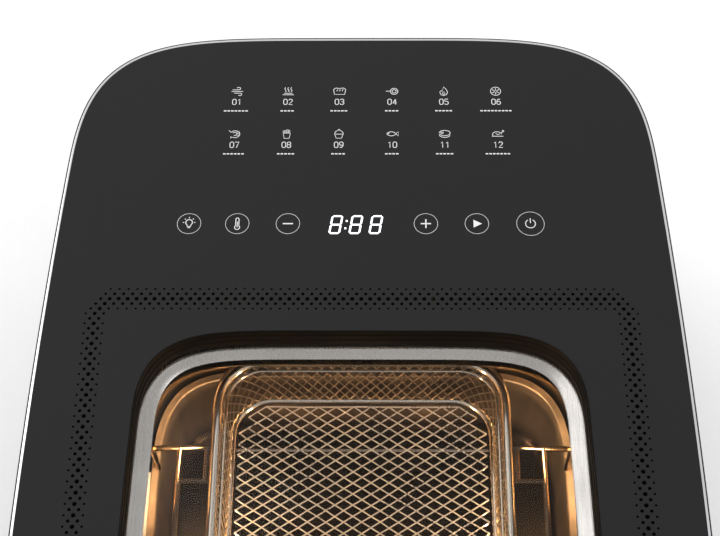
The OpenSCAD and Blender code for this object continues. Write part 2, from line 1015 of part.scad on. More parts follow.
module handle_screws() {
    color("#b4b4b4")
        for (s = [-1, 1]) {
            rod_y(s * boss_x, handle_z, plate_back + 0.5, plate_back + 3, 2 * foot_screw_r);
            rod_y(s * boss_x, handle_z, plate_back + 3, body_d + 11, foot_screw_r);
        }
}

// Drip pan's plan, moved out by a grow
module pan_plan(grow = 0) {
    intersection() {
        offset(delta = grow)
            translate([0, at_d(pan_setback)])
                soft_rectangle(2 * (pan_front - pan_setback), liner_corner - 6, 2.6, 7,
                    pan_half, 0);
        translate([-body_w / 2, at_d(pan_front)])
            square([body_w, pan_front - pan_setback + liner_corner]);
    }
}

module drip_pan() {
    color("#5a5552")
        difference() {
            union() {
                slab(at_z(pan_floor_depth + sheet_t), pan_floor_depth - pan_rim_depth + sheet_t)
                    pan_plan();
                slab(at_z(pan_rim_depth + sheet_t), sheet_t)
                    intersection() {
                        pan_plan(pan_lip);
                        translate([-body_w, at_d(liner_front - 1)])
                            square([2 * body_w, liner_front - liner_setback - 3]);
                    }
            }
            slab(at_z(pan_floor_depth), pan_floor_depth)
                intersection() {
                    pan_plan(-sheet_t);
                    translate([-body_w, at_d(pan_front - sheet_t)])
                        square([2 * body_w, body_d]);
                }
        }
}

// ---- Basket and the wire rails that carry it ----
basket_half = liner_half - basket_side_gap;
basket_front = body_d - 35;
basket_len = basket_front - basket_setback;
basket_y = at_d((basket_front + basket_setback) / 2);
rim_z = at_z(basket_rim_depth);
floor_z = rim_z - basket_h;
wire_r = 1.5;
rail_x = basket_half + 16;
arm_z = rim_z - rim_r - gap - wire_r;
mesh_t = 1;
ring_r = 2;
rail_stops = [220, 238, basket_front - 48, basket_front - 30];
rail_post_x = pan_half - sheet_t / 2;

module basket_rail() {
    first = rail_stops[0];
    last = rail_stops[3];
    rod_y(rail_x, arm_z, first, last, wire_r);
    for (d = rail_stops)
        rod_x(basket_half - rim_r + 2 * gap, rail_x, at_d(d), arm_z, wire_r);
    for (d = [first, last]) {
        translate([rail_x, at_d(d), arm_z])
            sphere(r = wire_r);
        rod_x(rail_x, rail_post_x, at_d(d), arm_z, wire_r);
        translate([rail_post_x, at_d(d), at_z(pan_rim_depth)])
            cylinder(h = arm_z - at_z(pan_rim_depth), r = wire_r);
        translate([rail_post_x, at_d(d), arm_z])
            sphere(r = wire_r);
    }
}

module basket_rail_right() {
    color("#c9c9c9")
        basket_rail();
}

module basket_rail_left() {
    color("#c9c9c9")
        mirror([1, 0, 0])
            basket_rail();
}

rim_w_line = 2 * basket_half - 2 * rim_r;
rim_d_line = basket_len - 2 * rim_r;
ring_w_line = rim_w_line - 2 * basket_taper;
ring_d_line = rim_d_line - 2 * basket_taper;
rim_corner = basket_corner - rim_r;
ring_corner = rim_corner - basket_taper / 2;

module basket_rim() {
    color("#dcdcdc")
        translate([0, basket_y, rim_z])
            tube_loop(rim_w_line, rim_d_line, rim_corner, rim_r);
}

module floor_ring() {
    color("#dcdcdc")
        translate([0, basket_y, floor_z])
            tube_loop(ring_w_line, ring_d_line, ring_corner, ring_r);
}

// Tapered solid between the rim and the ring, moved in by an inset
module basket_form(inset, z0, z1) {
    lean = basket_taper / basket_h;
    hull() {
        translate([0, basket_y, z1])
            linear_extrude(0.01)
                rounded_plan(rim_w_line - 2 * inset + 2 * lean * (z1 - rim_z),
                    rim_d_line - 2 * inset + 2 * lean * (z1 - rim_z), rim_corner - inset, $fn = 32);
        translate([0, basket_y, z0])
            linear_extrude(0.01)
                rounded_plan(rim_w_line - 2 * inset + 2 * lean * (z0 - rim_z),
                    rim_d_line - 2 * inset + 2 * lean * (z0 - rim_z), ring_corner - inset, $fn = 32);
    }
}

module basket_wall() {
    color("#8a8784")
        difference() {
            basket_form(-mesh_t / 2, floor_z + ring_r, rim_z - rim_r - fit);
            basket_form(mesh_t / 2, floor_z + ring_r - cut, rim_z - rim_r + cut);
        }
}

module basket_floor() {
    color("#8a8784")
        translate([0, basket_y, floor_z - mesh_t / 2])
            linear_extrude(mesh_t)
                rounded_plan(ring_w_line - 2 * ring_r, ring_d_line - 2 * ring_r,
                    ring_corner - ring_r);
}

rod_count = 3;
rod_pitch = ring_d_line / 2.8;
rod_r = 0.9;
rod_end = ring_w_line / 2 - ring_r + 0.1;
module floor_rods() {
    color("#cfcfcf")
        for (i = [0:rod_count - 1])
            rod_x(-rod_end, rod_end, basket_y + (i - 1) * rod_pitch, floor_z - mesh_t / 2 - rod_r,
                rod_r);
}

// ---- Drawer sensor ----
magnet_x = liner_half + sheet_t + 4.5;
magnet_z = drawer_bottom + drawer_h - 14;
module reed_switch() {
    color("#404448")
        block(magnet_x - 2.5, magnet_x + 2.5, at_d(liner_front - sheet_t), at_d(liner_front - sheet_t - 8),
            magnet_z - 4, magnet_z + 4);
}

module drawer_magnet() {
    color("#8890a0")
        rod_y(magnet_x, magnet_z, plate_back + plate_t, plate_back + plate_t + 3, 2.5);
}

top_frame();
back_panel();
side_panel_left();
side_panel_right();
front_frame();
base_tray();
foot_pads();
foot_screws();
top_panel();
trim_ring();
window_bezel();
window_gasket();
window_glass();
window_neck();
inner_glass();
cavity_liner();
drawer_rails();
fan_guard();
fan_shroud();
heater_ring();
fan_motor();
motor_bracket();
shaft_bearings();
fan_shaft();
convection_fan();
cooling_fan();
fan_nut();
touch_board();
display_module();
control_board();
power_board();
cooling_duct();
rear_cover();
rear_cover_screws();
cord_gland();
side_insulation();
lamp_left();
lamp_right();
lamp_lens_left();
lamp_lens_right();
temperature_probe();
thermal_cutout();
reed_switch();
drawer_magnet();
drawer_front();
drawer_inner_plate();
drawer_seal();
drawer_handle();
handle_screws();
drip_pan();
basket_rail_left();
basket_rail_right();
basket_rim();
basket_wall();
basket_floor();
floor_ring();
floor_rods();
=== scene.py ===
"""Air fryer with a glazed lid panel: its looks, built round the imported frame."""
import json
import logging
import math
from dataclasses import dataclass
from enum import Enum

import bmesh
import bpy
from mathutils import Matrix, Vector


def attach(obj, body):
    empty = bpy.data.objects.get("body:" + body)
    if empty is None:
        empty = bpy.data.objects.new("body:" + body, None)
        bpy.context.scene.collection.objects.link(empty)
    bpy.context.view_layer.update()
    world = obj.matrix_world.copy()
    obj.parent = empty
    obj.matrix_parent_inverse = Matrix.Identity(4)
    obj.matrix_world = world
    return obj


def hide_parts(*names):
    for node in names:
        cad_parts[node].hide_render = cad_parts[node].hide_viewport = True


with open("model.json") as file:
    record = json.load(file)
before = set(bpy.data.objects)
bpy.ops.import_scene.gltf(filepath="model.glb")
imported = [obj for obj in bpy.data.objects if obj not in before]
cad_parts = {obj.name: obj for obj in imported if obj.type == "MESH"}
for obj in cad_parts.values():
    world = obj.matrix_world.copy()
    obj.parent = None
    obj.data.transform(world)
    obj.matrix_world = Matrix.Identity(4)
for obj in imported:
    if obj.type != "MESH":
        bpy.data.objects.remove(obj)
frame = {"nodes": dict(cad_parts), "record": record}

MM = 0.001
LOG = logging.getLogger("air_fryer")
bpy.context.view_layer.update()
Piece = bpy.types.Object
Tree = bpy.types.NodeTree
Socket = bpy.types.NodeSocket
Point = tuple[float, float, float]
Loop = list[Point]
Outline = list[tuple[float, float]]
SOFT_EDGE = 35.0  # degrees past which an edge stays sharp
END_STEPS, SIDE_STEPS = 44, 14  # of a plan's rounded ends and of its sides


# ---------------------------------------------------------------- outlines and meshes


@dataclass(frozen=True)
class SoftRectangle:
    """A long rectangle with soft corners and slightly bowed sides, in millimetres."""

    length: float
    corner: float
    corner_power: float
    width_power: float
    half_width: float
    bow: float
    back: float

    def width_at(self, setback: float) -> float:
        """Half width of the outline.

        Args:
            setback: Distance from the back tip.

        Returns:
            Half width there.
        """
        end = min(setback, self.length - setback)
        wide = self.half_width - self.bow * max(0.0, 1 - setback / (0.72 * self.length)) ** 2
        if end >= self.corner:
            return wide
        inner = max(0.0, 1 - end / self.corner) ** self.corner_power
        return wide * max(0.0, 1 - inner) ** (1 / self.width_power)

    def outline(self, grow: float = 0.0) -> Outline:
        """Closed outline, counter-clockwise from above.

        Args:
            grow: Distance to move the outline outward.

        Returns:
            Points as x, y.
        """
        ends = [self.corner * (1 - math.cos(math.pi / 2 * i / END_STEPS) ** (2 / self.corner_power))
                for i in range(END_STEPS + 1)]
        straight = self.length - 2 * self.corner
        middle = [self.corner + straight * i / SIDE_STEPS for i in range(1, SIDE_STEPS)]
        stations = ends + middle + [self.length - s for s in reversed(ends)]
        right = [(self.width_at(s), self.back - s) for s in stations]
        left = [(-x, y) for x, y in reversed(right[1:-1])]
        return moved_out(list(reversed(right + left)), grow)


def moved_out(points: Outline, grow: float) -> Outline:
    """Move a counter-clockwise outline outward.

    Args:
        points: Closed outline.
        grow: Distance outward, or inward when negative.

    Returns:
        The moved outline, with as many points.
    """
    if not grow:
        return points
    out, count = [], len(points)
    for i, (x, y) in enumerate(points):
        before = Vector((x - points[i - 1][0], y - points[i - 1][1])).normalized()
        after = Vector((points[(i + 1) % count][0] - x, points[(i + 1) % count][1] - y)).normalized()
        normal = Vector((before.y + after.y, -before.x - after.x)).normalized()
        reach = grow / max(0.5, math.sqrt(max(0.0, (1 + before.dot(after)) / 2)))
        out.append((x + normal.x * reach, y + normal.y * reach))
    return out


def rounded_outline(x0: float, x1: float, y0: float, y1: float, radius: float, fine: int = 10) -> Outline:
    """Rectangle with round corners, counter-clockwise from its lower right corner.

    Args:
        x0: Left side.
        x1: Right side.
        y0: Lower side.
        y1: Upper side.
        radius: Corner radius.
        fine: Steps in each corner.

    Returns:
        Points as x, y.
    """
    centres = ((x1 - radius, y0 + radius, -90), (x1 - radius, y1 - radius, 0),
               (x0 + radius, y1 - radius, 90), (x0 + radius, y0 + radius, 180))
    return [(cx + radius * math.cos(math.radians(start + 90 * i / fine)),
             cy + radius * math.sin(math.radians(start + 90 * i / fine)))
            for cx, cy, start in centres for i in range(fine + 1)]


def at(points: Outline, z: float) -> Loop:
    """Lift an outline to a height."""
    return [(x, y, z) for x, y in points]


def make_mesh(name: str, points: Loop, faces: list[tuple[int, ...]], edges: tuple = ()) -> Piece:
    """Make an object from points in millimetres.

    Args:
        name: Name of the piece.
        points: Corners.
        faces: Corner indices of each face.
        edges: Corner pairs of loose edges.

    Returns:
        The new object, linked to the scene.
    """
    mesh = bpy.data.meshes.new(name)
    mesh.from_pydata([(x * MM, y * MM, z * MM) for x, y, z in points], list(edges), faces)
    piece = bpy.data.objects.new(name, mesh)
    bpy.context.scene.collection.objects.link(piece)
    return piece


def shade(piece: Piece, sharp: float = SOFT_EDGE) -> Piece:
    """Shade a mesh smooth up to an angle.

    Args:
        piece: Mesh object.
        sharp: Angle past which an edge stays sharp, in degrees.

    Returns:
        The same object.
    """
    for face in piece.data.polygons:
        face.use_smooth = True
    piece.data.set_sharp_from_angle(angle=math.radians(sharp))
    return piece


def skin(name: str, loops: list[Loop], closed: bool, sharp: float = SOFT_EDGE) -> Piece:
    """Skin a row of equal closed loops, with every face turned outward.

    Args:
        name: Name of the piece.
        loops: Loops with equal numbers of points.
        closed: Whether the last loop joins the first; otherwise both ends are capped.
        sharp: Angle past which an edge stays sharp, in degrees.

    Returns:
        The skinned object.
    """
    count, rows = len(loops[0]), len(loops)
    faces: list[tuple[int, ...]] = []
    for r in range(rows if closed else rows - 1):
        a, b = r * count, (r + 1) % rows * count
        faces += [(a + i, a + (i + 1) % count, b + (i + 1) % count, b + i) for i in range(count)]
    if not closed:
        faces += [tuple(range(count)), tuple(range((rows - 1) * count, rows * count))]
    piece = make_mesh(name, [p for loop in loops for p in loop], faces)
    work = bmesh.new()
    work.from_mesh(piece.data)
    bmesh.ops.remove_doubles(work, verts=work.verts, dist=1e-6)
    bmesh.ops.recalc_face_normals(work, faces=work.faces)
    work.to_mesh(piece.data)
    work.free()
    return shade(piece, sharp)


def swept(name: str, plan: SoftRectangle, profile: Outline, sharp: float = SOFT_EDGE) -> Piece:
    """Ring whose section follows a plan.

    Args:
        name: Name of the piece.
        plan: Plan it follows.
        profile: Distance outward and height of each corner of the section.
        sharp: Angle past which an edge stays sharp, in degrees.

    Returns:
        The ring.
    """
    return skin(name, [at(plan.outline(grow), z) for grow, z in profile], True, sharp)


def slab(name: str, outline: Outline, z0: float, z1: float) -> Piece:
    """A flat plate with the given outline."""
    return skin(name, [at(outline, z0), at(outline, z1)], closed=False, sharp=30.0)


def baked(piece: Piece, reshade: bool = True) -> Piece:
    """Turn an object's modifiers into its own mesh.

    Args:
        piece: Object with live modifiers.
        reshade: Whether to shade the result anew.

    Returns:
        The same object, without modifiers.
    """
    bpy.context.view_layer.update()
    result = bpy.data.meshes.new_from_object(piece.evaluated_get(bpy.context.evaluated_depsgraph_get()))
    piece.modifiers.clear()
    piece.data = result
    return shade(piece) if reshade else piece


def bevelled(piece: Piece, width: float, steps: int = 3, angle: float = 40.0) -> Piece:
    """Round a piece's sharp edges.

    Args:
        piece: Closed mesh.
        width: Width of the rounding in millimetres.
        steps: Number of segments.
        angle: Edges sharper than this many degrees are rounded.

    Returns:
        The same object with the rounding in its mesh.
    """
    edge = piece.modifiers.new("edge", "BEVEL")
    edge.width, edge.segments = width * MM, steps
    edge.limit_method, edge.angle_limit = "ANGLE", math.radians(angle)
    edge.harden_normals = False
    return baked(piece)


def cut_away(piece: Piece, cutters: list[Piece]) -> Piece:
    """Cut solids out of a piece and remove them.

    Args:
        piece: Closed mesh that is cut.
        cutters: Closed meshes to cut away.

    Returns:
        The piece, cut.
    """
    for cutter in cutters:
        hole = piece.modifiers.new("hole", "BOOLEAN")
        hole.operation, hole.solver, hole.object = "DIFFERENCE", "EXACT", cutter
    baked(piece)
    for cutter in cutters:
        bpy.data.objects.remove(cutter)
    return piece


def joined(name: str, pieces: list[Piece]) -> Piece:
    """Join meshes into one piece.

    Args:
        name: Name of the result.
        pieces: Meshes at the origin.

    Returns:
        One object that holds them all.
    """
    work = bmesh.new()
    for piece in pieces:
        work.from_mesh(piece.data)
    mesh = bpy.data.meshes.new(name)
    work.to_mesh(mesh)
    work.free()
    for piece in pieces:
        bpy.data.objects.remove(piece)
    mesh.set_sharp_from_angle(angle=math.radians(SOFT_EDGE))
    result = bpy.data.objects.new(name, mesh)
    bpy.context.scene.collection.objects.link(result)
    return result


def rod_cutter(centre: Point, axis: str, radius: float, length: float) -> Piece:
    """A round cutter along an axis.

    Args:
        centre: Its middle, in millimetres.
        axis: "x" or "y".
        radius: Radius in millimetres.
        length: Length in millimetres.

    Returns:
        The cutter.
    """
    ring = [(radius * math.cos(a), radius * math.sin(a))
            for a in (2 * math.pi * i / 40 for i in range(40))]
    cutter = slab("cutter", ring, -length / 2, length / 2)
    turn = {"x": Matrix.Rotation(math.pi / 2, 4, "Y"), "y": Matrix.Rotation(-math.pi / 2, 4, "X")}[axis]
    cutter.data.transform(Matrix.Translation(Vector(centre) * MM) @ turn)
    return cutter


def box_cutter(x0: float, x1: float, y0: float, y1: float, z0: float, z1: float) -> Piece:
    """A block between two corners."""
    return slab("block", [(x1, y0), (x1, y1), (x0, y1), (x0, y0)], z0, z1)


# ---------------------------------------------------------------- node trees


def add_node(tree: Tree, kind: str, settings: dict | None = None,
             links: dict | None = None) -> bpy.types.Node:
    """Add a node, set it and link its inputs.

    Args:
        tree: Node tree that gets it.
        kind: Node type's name.
        settings: Attributes of the node, or input values by name or index.
        links: Output sockets that feed its inputs, by name or index.

    Returns:
        The node.
    """
    node = tree.nodes.new(kind)
    for key, value in (settings or {}).items():
        if isinstance(key, str) and hasattr(node, key):
            setattr(node, key, value)
        else:
            node.inputs[key].default_value = value
    for key, socket in (links or {}).items():
        tree.links.new(socket, node.inputs[key])
    return node


def calc(tree: Tree, operation: str, *values: object, vector: bool = False) -> Socket:
    """Add a math node.

    Args:
        tree: Node tree that gets it.
        operation: What it works out.
        values: Sockets or plain values, in the order of its inputs.
        vector: Whether it works on vectors.

    Returns:
        The socket with its result.
    """
    node = add_node(tree, "ShaderNodeVectorMath" if vector else "ShaderNodeMath", {"operation": operation})
    for entry, value in zip(node.inputs, values):
        if isinstance(value, Socket):
            tree.links.new(value, entry)
        else:
            entry.default_value = value
    return node.outputs["Value" if operation == "LENGTH" else 0]


def join_all(tree: Tree, parts: tuple[bpy.types.Node, ...]) -> Socket:
    """Join the geometry of several nodes.

    Args:
        tree: Node tree that gets the join.
        parts: Nodes whose first output is joined.

    Returns:
        The socket with all of it.
    """
    node = tree.nodes.new("GeometryNodeJoinGeometry")
    for part in parts:
        tree.links.new(part.outputs[0], node.inputs[0])
    return node.outputs[0]


def geometry_tree(name: str, inputs: dict[str, tuple[str, object]]) -> tuple[Tree, bpy.types.Node]:
    """Start a Geometry Nodes tree with named inputs.

    Args:
        name: Name of the tree.
        inputs: Socket type and first value by input name.

    Returns:
        The tree and its input node.
    """
    tree = bpy.data.node_groups.new(name, "GeometryNodeTree")
    tree.interface.new_socket("Geometry", in_out="INPUT", socket_type="NodeSocketGeometry")
    for label, (kind, value) in inputs.items():
        socket = tree.interface.new_socket(label, in_out="INPUT", socket_type=kind)
        if value is not None:
            socket.default_value = value
    tree.interface.new_socket("Geometry", in_out="OUTPUT", socket_type="NodeSocketGeometry")
    return tree, tree.nodes.new("NodeGroupInput")


def end_tree(tree: Tree, geometry: Socket, material: Socket) -> None:
    """Finish a tree with Realize Instances and Set Material.

    Args:
        tree: The tree.
        geometry: Socket with the finished shape.
        material: Socket with its material.
    """
    real = add_node(tree, "GeometryNodeRealizeInstances", links={0: geometry})
    dressed = add_node(tree, "GeometryNodeSetMaterial",
                       links={"Geometry": real.outputs[0], "Material": material})
    add_node(tree, "NodeGroupOutput", links={0: dressed.outputs[0]})


def grown(piece: Piece, tree: Tree, values: dict[str, object]) -> Piece:
    """Run a Geometry Nodes tree on a piece and keep the plain mesh.

    Args:
        piece: Mesh object the tree starts from.
        tree: Tree to run.
        values: Values of its inputs by name.

    Returns:
        The same object with the tree's mesh.
    """
    modifier = piece.modifiers.new("nodes", "NODES")
    modifier.node_group = tree
    for item in tree.interface.items_tree:
        if item.item_type == "SOCKET" and item.in_out == "INPUT" and item.name in values:
            modifier[item.identifier] = values[item.name]
    return baked(piece, reshade=False)


class Trees:
    """The Geometry Nodes trees of the repeated and path-following pieces."""

    BAND_CELLS = 2.45  # half cells of the lattice on either side of the band's middle
    SLOT_LONG, SLOT_WIDE, SLOT_DEEP = 1.1, 0.22, 1.4  # cross recess, in head radii and heights

    def __init__(self) -> None:
        """Build each tree once."""
        self.wire = self._wire()
        self.strand = self._strand()
        self.panel = self._panel()
        self.screw = self._screw()

    def _wire(self) -> Tree:
        """Round wire along every loose edge path.

        Returns:
            The tree.
        """
        tree, entry = geometry_tree("round_wire", {
            "Radius": ("NodeSocketFloat", 0.001), "Sides": ("NodeSocketInt", 12),
            "Material": ("NodeSocketMaterial", None)})
        path = add_node(tree, "GeometryNodeMeshToCurve", links={"Mesh": entry.outputs["Geometry"]})
        ring = add_node(tree, "GeometryNodeCurvePrimitiveCircle",
                        links={"Resolution": entry.outputs["Sides"], "Radius": entry.outputs["Radius"]})
        tube = add_node(tree, "GeometryNodeCurveToMesh", {"Fill Caps": True},
                        {"Curve": path.outputs[0], "Profile Curve": ring.outputs[0]})
        smooth = add_node(tree, "GeometryNodeSetShadeSmooth", links={0: tube.outputs[0]})
        end_tree(tree, smooth.outputs[0], entry.outputs["Material"])
        return tree

    def _strand(self) -> Tree:
        """Flat strand along edge paths, with a seeded wobble, as in slit and stretched mesh.

        Returns:
            The tree.
        """
        tree, entry = geometry_tree("mesh_strand", {
            "Strand Width": ("NodeSocketFloat", 0.0008), "Strand Height": ("NodeSocketFloat", 0.0006),
            "Wobble": ("NodeSocketFloat", 0.0002), "Wobble Scale": ("NodeSocketFloat", 60.0),
            "Seed": ("NodeSocketFloat", 3.0), "Material": ("NodeSocketMaterial", None)})
        noise = add_node(tree, "ShaderNodeTexNoise", {"noise_dimensions": "4D", "Detail": 1.0},
                         {"Scale": entry.outputs["Wobble Scale"], "W": entry.outputs["Seed"]})
        centred = calc(tree, "SUBTRACT", noise.outputs["Color"], (0.5, 0.5, 0.5), vector=True)
        shift = add_node(tree, "ShaderNodeVectorMath", {"operation": "SCALE"},
                         {0: centred, "Scale": entry.outputs["Wobble"]})
        moved = add_node(tree, "GeometryNodeSetPosition",
                         links={"Geometry": entry.outputs["Geometry"], "Offset": shift.outputs[0]})
        path = add_node(tree, "GeometryNodeMeshToCurve", links={"Mesh": moved.outputs[0]})
        section = add_node(tree, "GeometryNodeCurvePrimitiveQuadrilateral", {"mode": "RECTANGLE"},
                           {"Width": entry.outputs["Strand Width"], "Height": entry.outputs["Strand Height"]})
        tube = add_node(tree, "GeometryNodeCurveToMesh", {"Fill Caps": True},
                        {"Curve": path.outputs[0], "Profile Curve": section.outputs[0]})
        end_tree(tree, tube.outputs[0], entry.outputs["Material"])
        return tree

    def _panel(self) -> Tree:
        """Lid plate: fills the outlines and punches a staggered lattice along a rounded band.

        Returns:
            The tree.
        """
        tree, entry = geometry_tree("perforated_plate", {
            "Pitch X": ("NodeSocketFloat", 0.002225), "Pitch Y": ("NodeSocketFloat", 0.002765),
            "Centre Y": ("NodeSocketFloat", 0.0), "Half X": ("NodeSocketFloat", 59.0),
            "Half Y": ("NodeSocketFloat", 42.0), "Corner": ("NodeSocketFloat", 4.5),
            "Hole Radius": ("NodeSocketFloat", 0.0011), "Radius Step": ("NodeSocketFloat", 0.00025),
            "Thickness": ("NodeSocketFloat", 0.003), "Top": ("NodeSocketFloat", 0.215),
            "Material": ("NodeSocketMaterial", None)})
        value = entry.outputs
        grid = add_node(tree, "GeometryNodeMeshGrid",
                        {"Size X": 124.0, "Size Y": 90.0, "Vertices X": 125, "Vertices Y": 91})
        here = add_node(tree, "GeometryNodeInputPosition").outputs[0]
        cell = add_node(tree, "ShaderNodeSeparateXYZ", links={0: here}).outputs
        parity = calc(tree, "PINGPONG", calc(tree, "ADD", cell[0], cell[1]), 1.0)
        folded = add_node(tree, "ShaderNodeSeparateXYZ",
                          links={0: calc(tree, "ABSOLUTE", here, vector=True)}).outputs
        reach = [calc(tree, "ADD", calc(tree, "SUBTRACT", folded[axis], value[half]), value["Corner"])
                 for axis, half in enumerate(("Half X", "Half Y"))]
        beyond = add_node(tree, "ShaderNodeCombineXYZ", links=dict(enumerate(reach))).outputs[0]
        outside = calc(tree, "LENGTH", calc(tree, "MAXIMUM", beyond, (0, 0, 0), vector=True), vector=True)
        inside = calc(tree, "MINIMUM", calc(tree, "MAXIMUM", *reach), 0.0)
        signed = calc(tree, "SUBTRACT", calc(tree, "ADD", outside, inside), value["Corner"])
        away = calc(tree, "ABSOLUTE", signed)
        drop = calc(tree, "MAXIMUM", calc(tree, "GREATER_THAN", away, self.BAND_CELLS),
                    calc(tree, "GREATER_THAN", parity, 0.5))
        radius = calc(tree, "SUBTRACT", value["Hole Radius"],
                      calc(tree, "MULTIPLY", away, value["Radius Step"]))
        sized = add_node(tree, "GeometryNodeStoreNamedAttribute",
                         {"data_type": "FLOAT", "domain": "POINT", "Name": "hole_radius"},
                         {"Geometry": grid.outputs[0], "Value": radius})
        kept = add_node(tree, "GeometryNodeDeleteGeometry", {"domain": "POINT"},
                        {"Geometry": sized.outputs[0], "Selection": drop})
        pitch = add_node(tree, "ShaderNodeCombineXYZ", links={0: value["Pitch X"], 1: value["Pitch Y"]})
        centre = add_node(tree, "ShaderNodeCombineXYZ", links={1: value["Centre Y"]})
        place = calc(tree, "ADD", calc(tree, "MULTIPLY", here, pitch.outputs[0], vector=True),
                     centre.outputs[0], vector=True)
        placed = add_node(tree, "GeometryNodeSetPosition",
                          links={"Geometry": kept.outputs[0], "Position": place})
        ring = add_node(tree, "GeometryNodeCurvePrimitiveCircle", {"Resolution": 12, "Radius": 1.0})
        size = add_node(tree, "GeometryNodeInputNamedAttribute",
                        {"data_type": "FLOAT", "Name": "hole_radius"})
        holes = add_node(tree, "GeometryNodeInstanceOnPoints",
                         links={"Points": placed.outputs[0], "Instance": ring.outputs[0],
                                "Scale": size.outputs[0]})
        outlines = add_node(tree, "GeometryNodeMeshToCurve", links={"Mesh": value["Geometry"]})
        real = add_node(tree, "GeometryNodeRealizeInstances", links={0: join_all(tree, (holes, outlines))})
        face = add_node(tree, "GeometryNodeFillCurve", {"mode": "TRIANGLES"}, {0: real.outputs[0]})
        up = add_node(tree, "ShaderNodeCombineXYZ", links={2: value["Thickness"]})
        raised = add_node(tree, "GeometryNodeExtrudeMesh", {"mode": "FACES", "Individual": False},
                          {"Mesh": face.outputs[0], "Offset": up.outputs[0]})
        under = add_node(tree, "GeometryNodeFlipFaces", links={0: face.outputs[0]})
        sealed = add_node(tree, "GeometryNodeMergeByDistance", {"Distance": 1e-6},
                          {0: join_all(tree, (raised, under))})
        low = calc(tree, "SUBTRACT", value["Top"], value["Thickness"])
        lift = add_node(tree, "ShaderNodeCombineXYZ", links={2: low})
        lifted = add_node(tree, "GeometryNodeTransform",
                          links={"Geometry": sealed.outputs[0], "Translation": lift.outputs[0]})
        end_tree(tree, lifted.outputs[0], entry.outputs["Material"])
        return tree

    def _screw(self) -> Tree:
        """Pan-head screw with a cross recess on every point, turned towards the point's normal.

        Returns:
            The tree.
        """
        tree, entry = geometry_tree("pan_head_screw", {
            "Head Radius": ("NodeSocketFloat", 0.003), "Head Height": ("NodeSocketFloat", 0.0012),
            "Material": ("NodeSocketMaterial", None)})
        head = add_node(tree, "GeometryNodeMeshUVSphere", {"Segments": 24, "Rings": 10, "Radius": 1.0})
        size = add_node(tree, "ShaderNodeCombineXYZ",
                        links={0: entry.outputs["Head Radius"], 1: entry.outputs["Head Radius"],
                               2: entry.outputs["Head Height"]})
        dome = add_node(tree, "GeometryNodeTransform",
                        links={"Geometry": head.outputs["Mesh"], "Scale": size.outputs[0]})
        slots = []
        for across in ((self.SLOT_LONG, self.SLOT_WIDE), (self.SLOT_WIDE, self.SLOT_LONG)):
            cube = add_node(tree, "GeometryNodeMeshCube")
            fit = calc(tree, "MULTIPLY", size.outputs[0], (*across, self.SLOT_DEEP), vector=True)
            rise = calc(tree, "MULTIPLY", size.outputs[0], (0, 0, 1.1), vector=True)
            slots.append(add_node(tree, "GeometryNodeTransform", links={
                "Geometry": cube.outputs["Mesh"], "Scale": fit, "Translation": rise}))
        cut = add_node(tree, "GeometryNodeMeshBoolean", {"operation": "DIFFERENCE"},
                       {0: dome.outputs[0]})
        for part in slots:
            tree.links.new(part.outputs[0], cut.inputs[1])
        normal = add_node(tree, "GeometryNodeInputNormal")
        turn = add_node(tree, "FunctionNodeAlignRotationToVector", {"axis": "Z"},
                        {"Vector": normal.outputs[0]})
        placed = add_node(tree, "GeometryNodeInstanceOnPoints",
                          links={"Points": entry.outputs["Geometry"], "Instance": cut.outputs[0],
                                 "Rotation": turn.outputs[0]})
        end_tree(tree, placed.outputs[0], entry.outputs["Material"])
        return tree


# ---------------------------------------------------------------- finishes


def linear(hex_colour: str) -> tuple[float, float, float, float]:
    """Turn an sRGB hex colour into linear RGBA.

    Args:
        hex_colour: Six hex digits.

    Returns:
        Linear red, green, blue and one.
    """
    parts = [int(hex_colour[i:i + 2], 16) / 255 for i in (0, 2, 4)]
    return tuple(p / 12.92 if p <= 0.04045 else ((p + 0.055) / 1.055) ** 2.4 for p in parts) + (1.0,)


class Grain(Enum):
    """How a surface was made, as stretch of its pattern along X, Y and Z."""

    EVEN = (1.0, 1.0, 1.0)
    BRUSHED_X = (0.02, 1.0, 1.0)
    BRUSHED_Y = (1.0, 0.02, 1.0)
    BRUSHED_Z = (1.0, 1.0, 0.03)


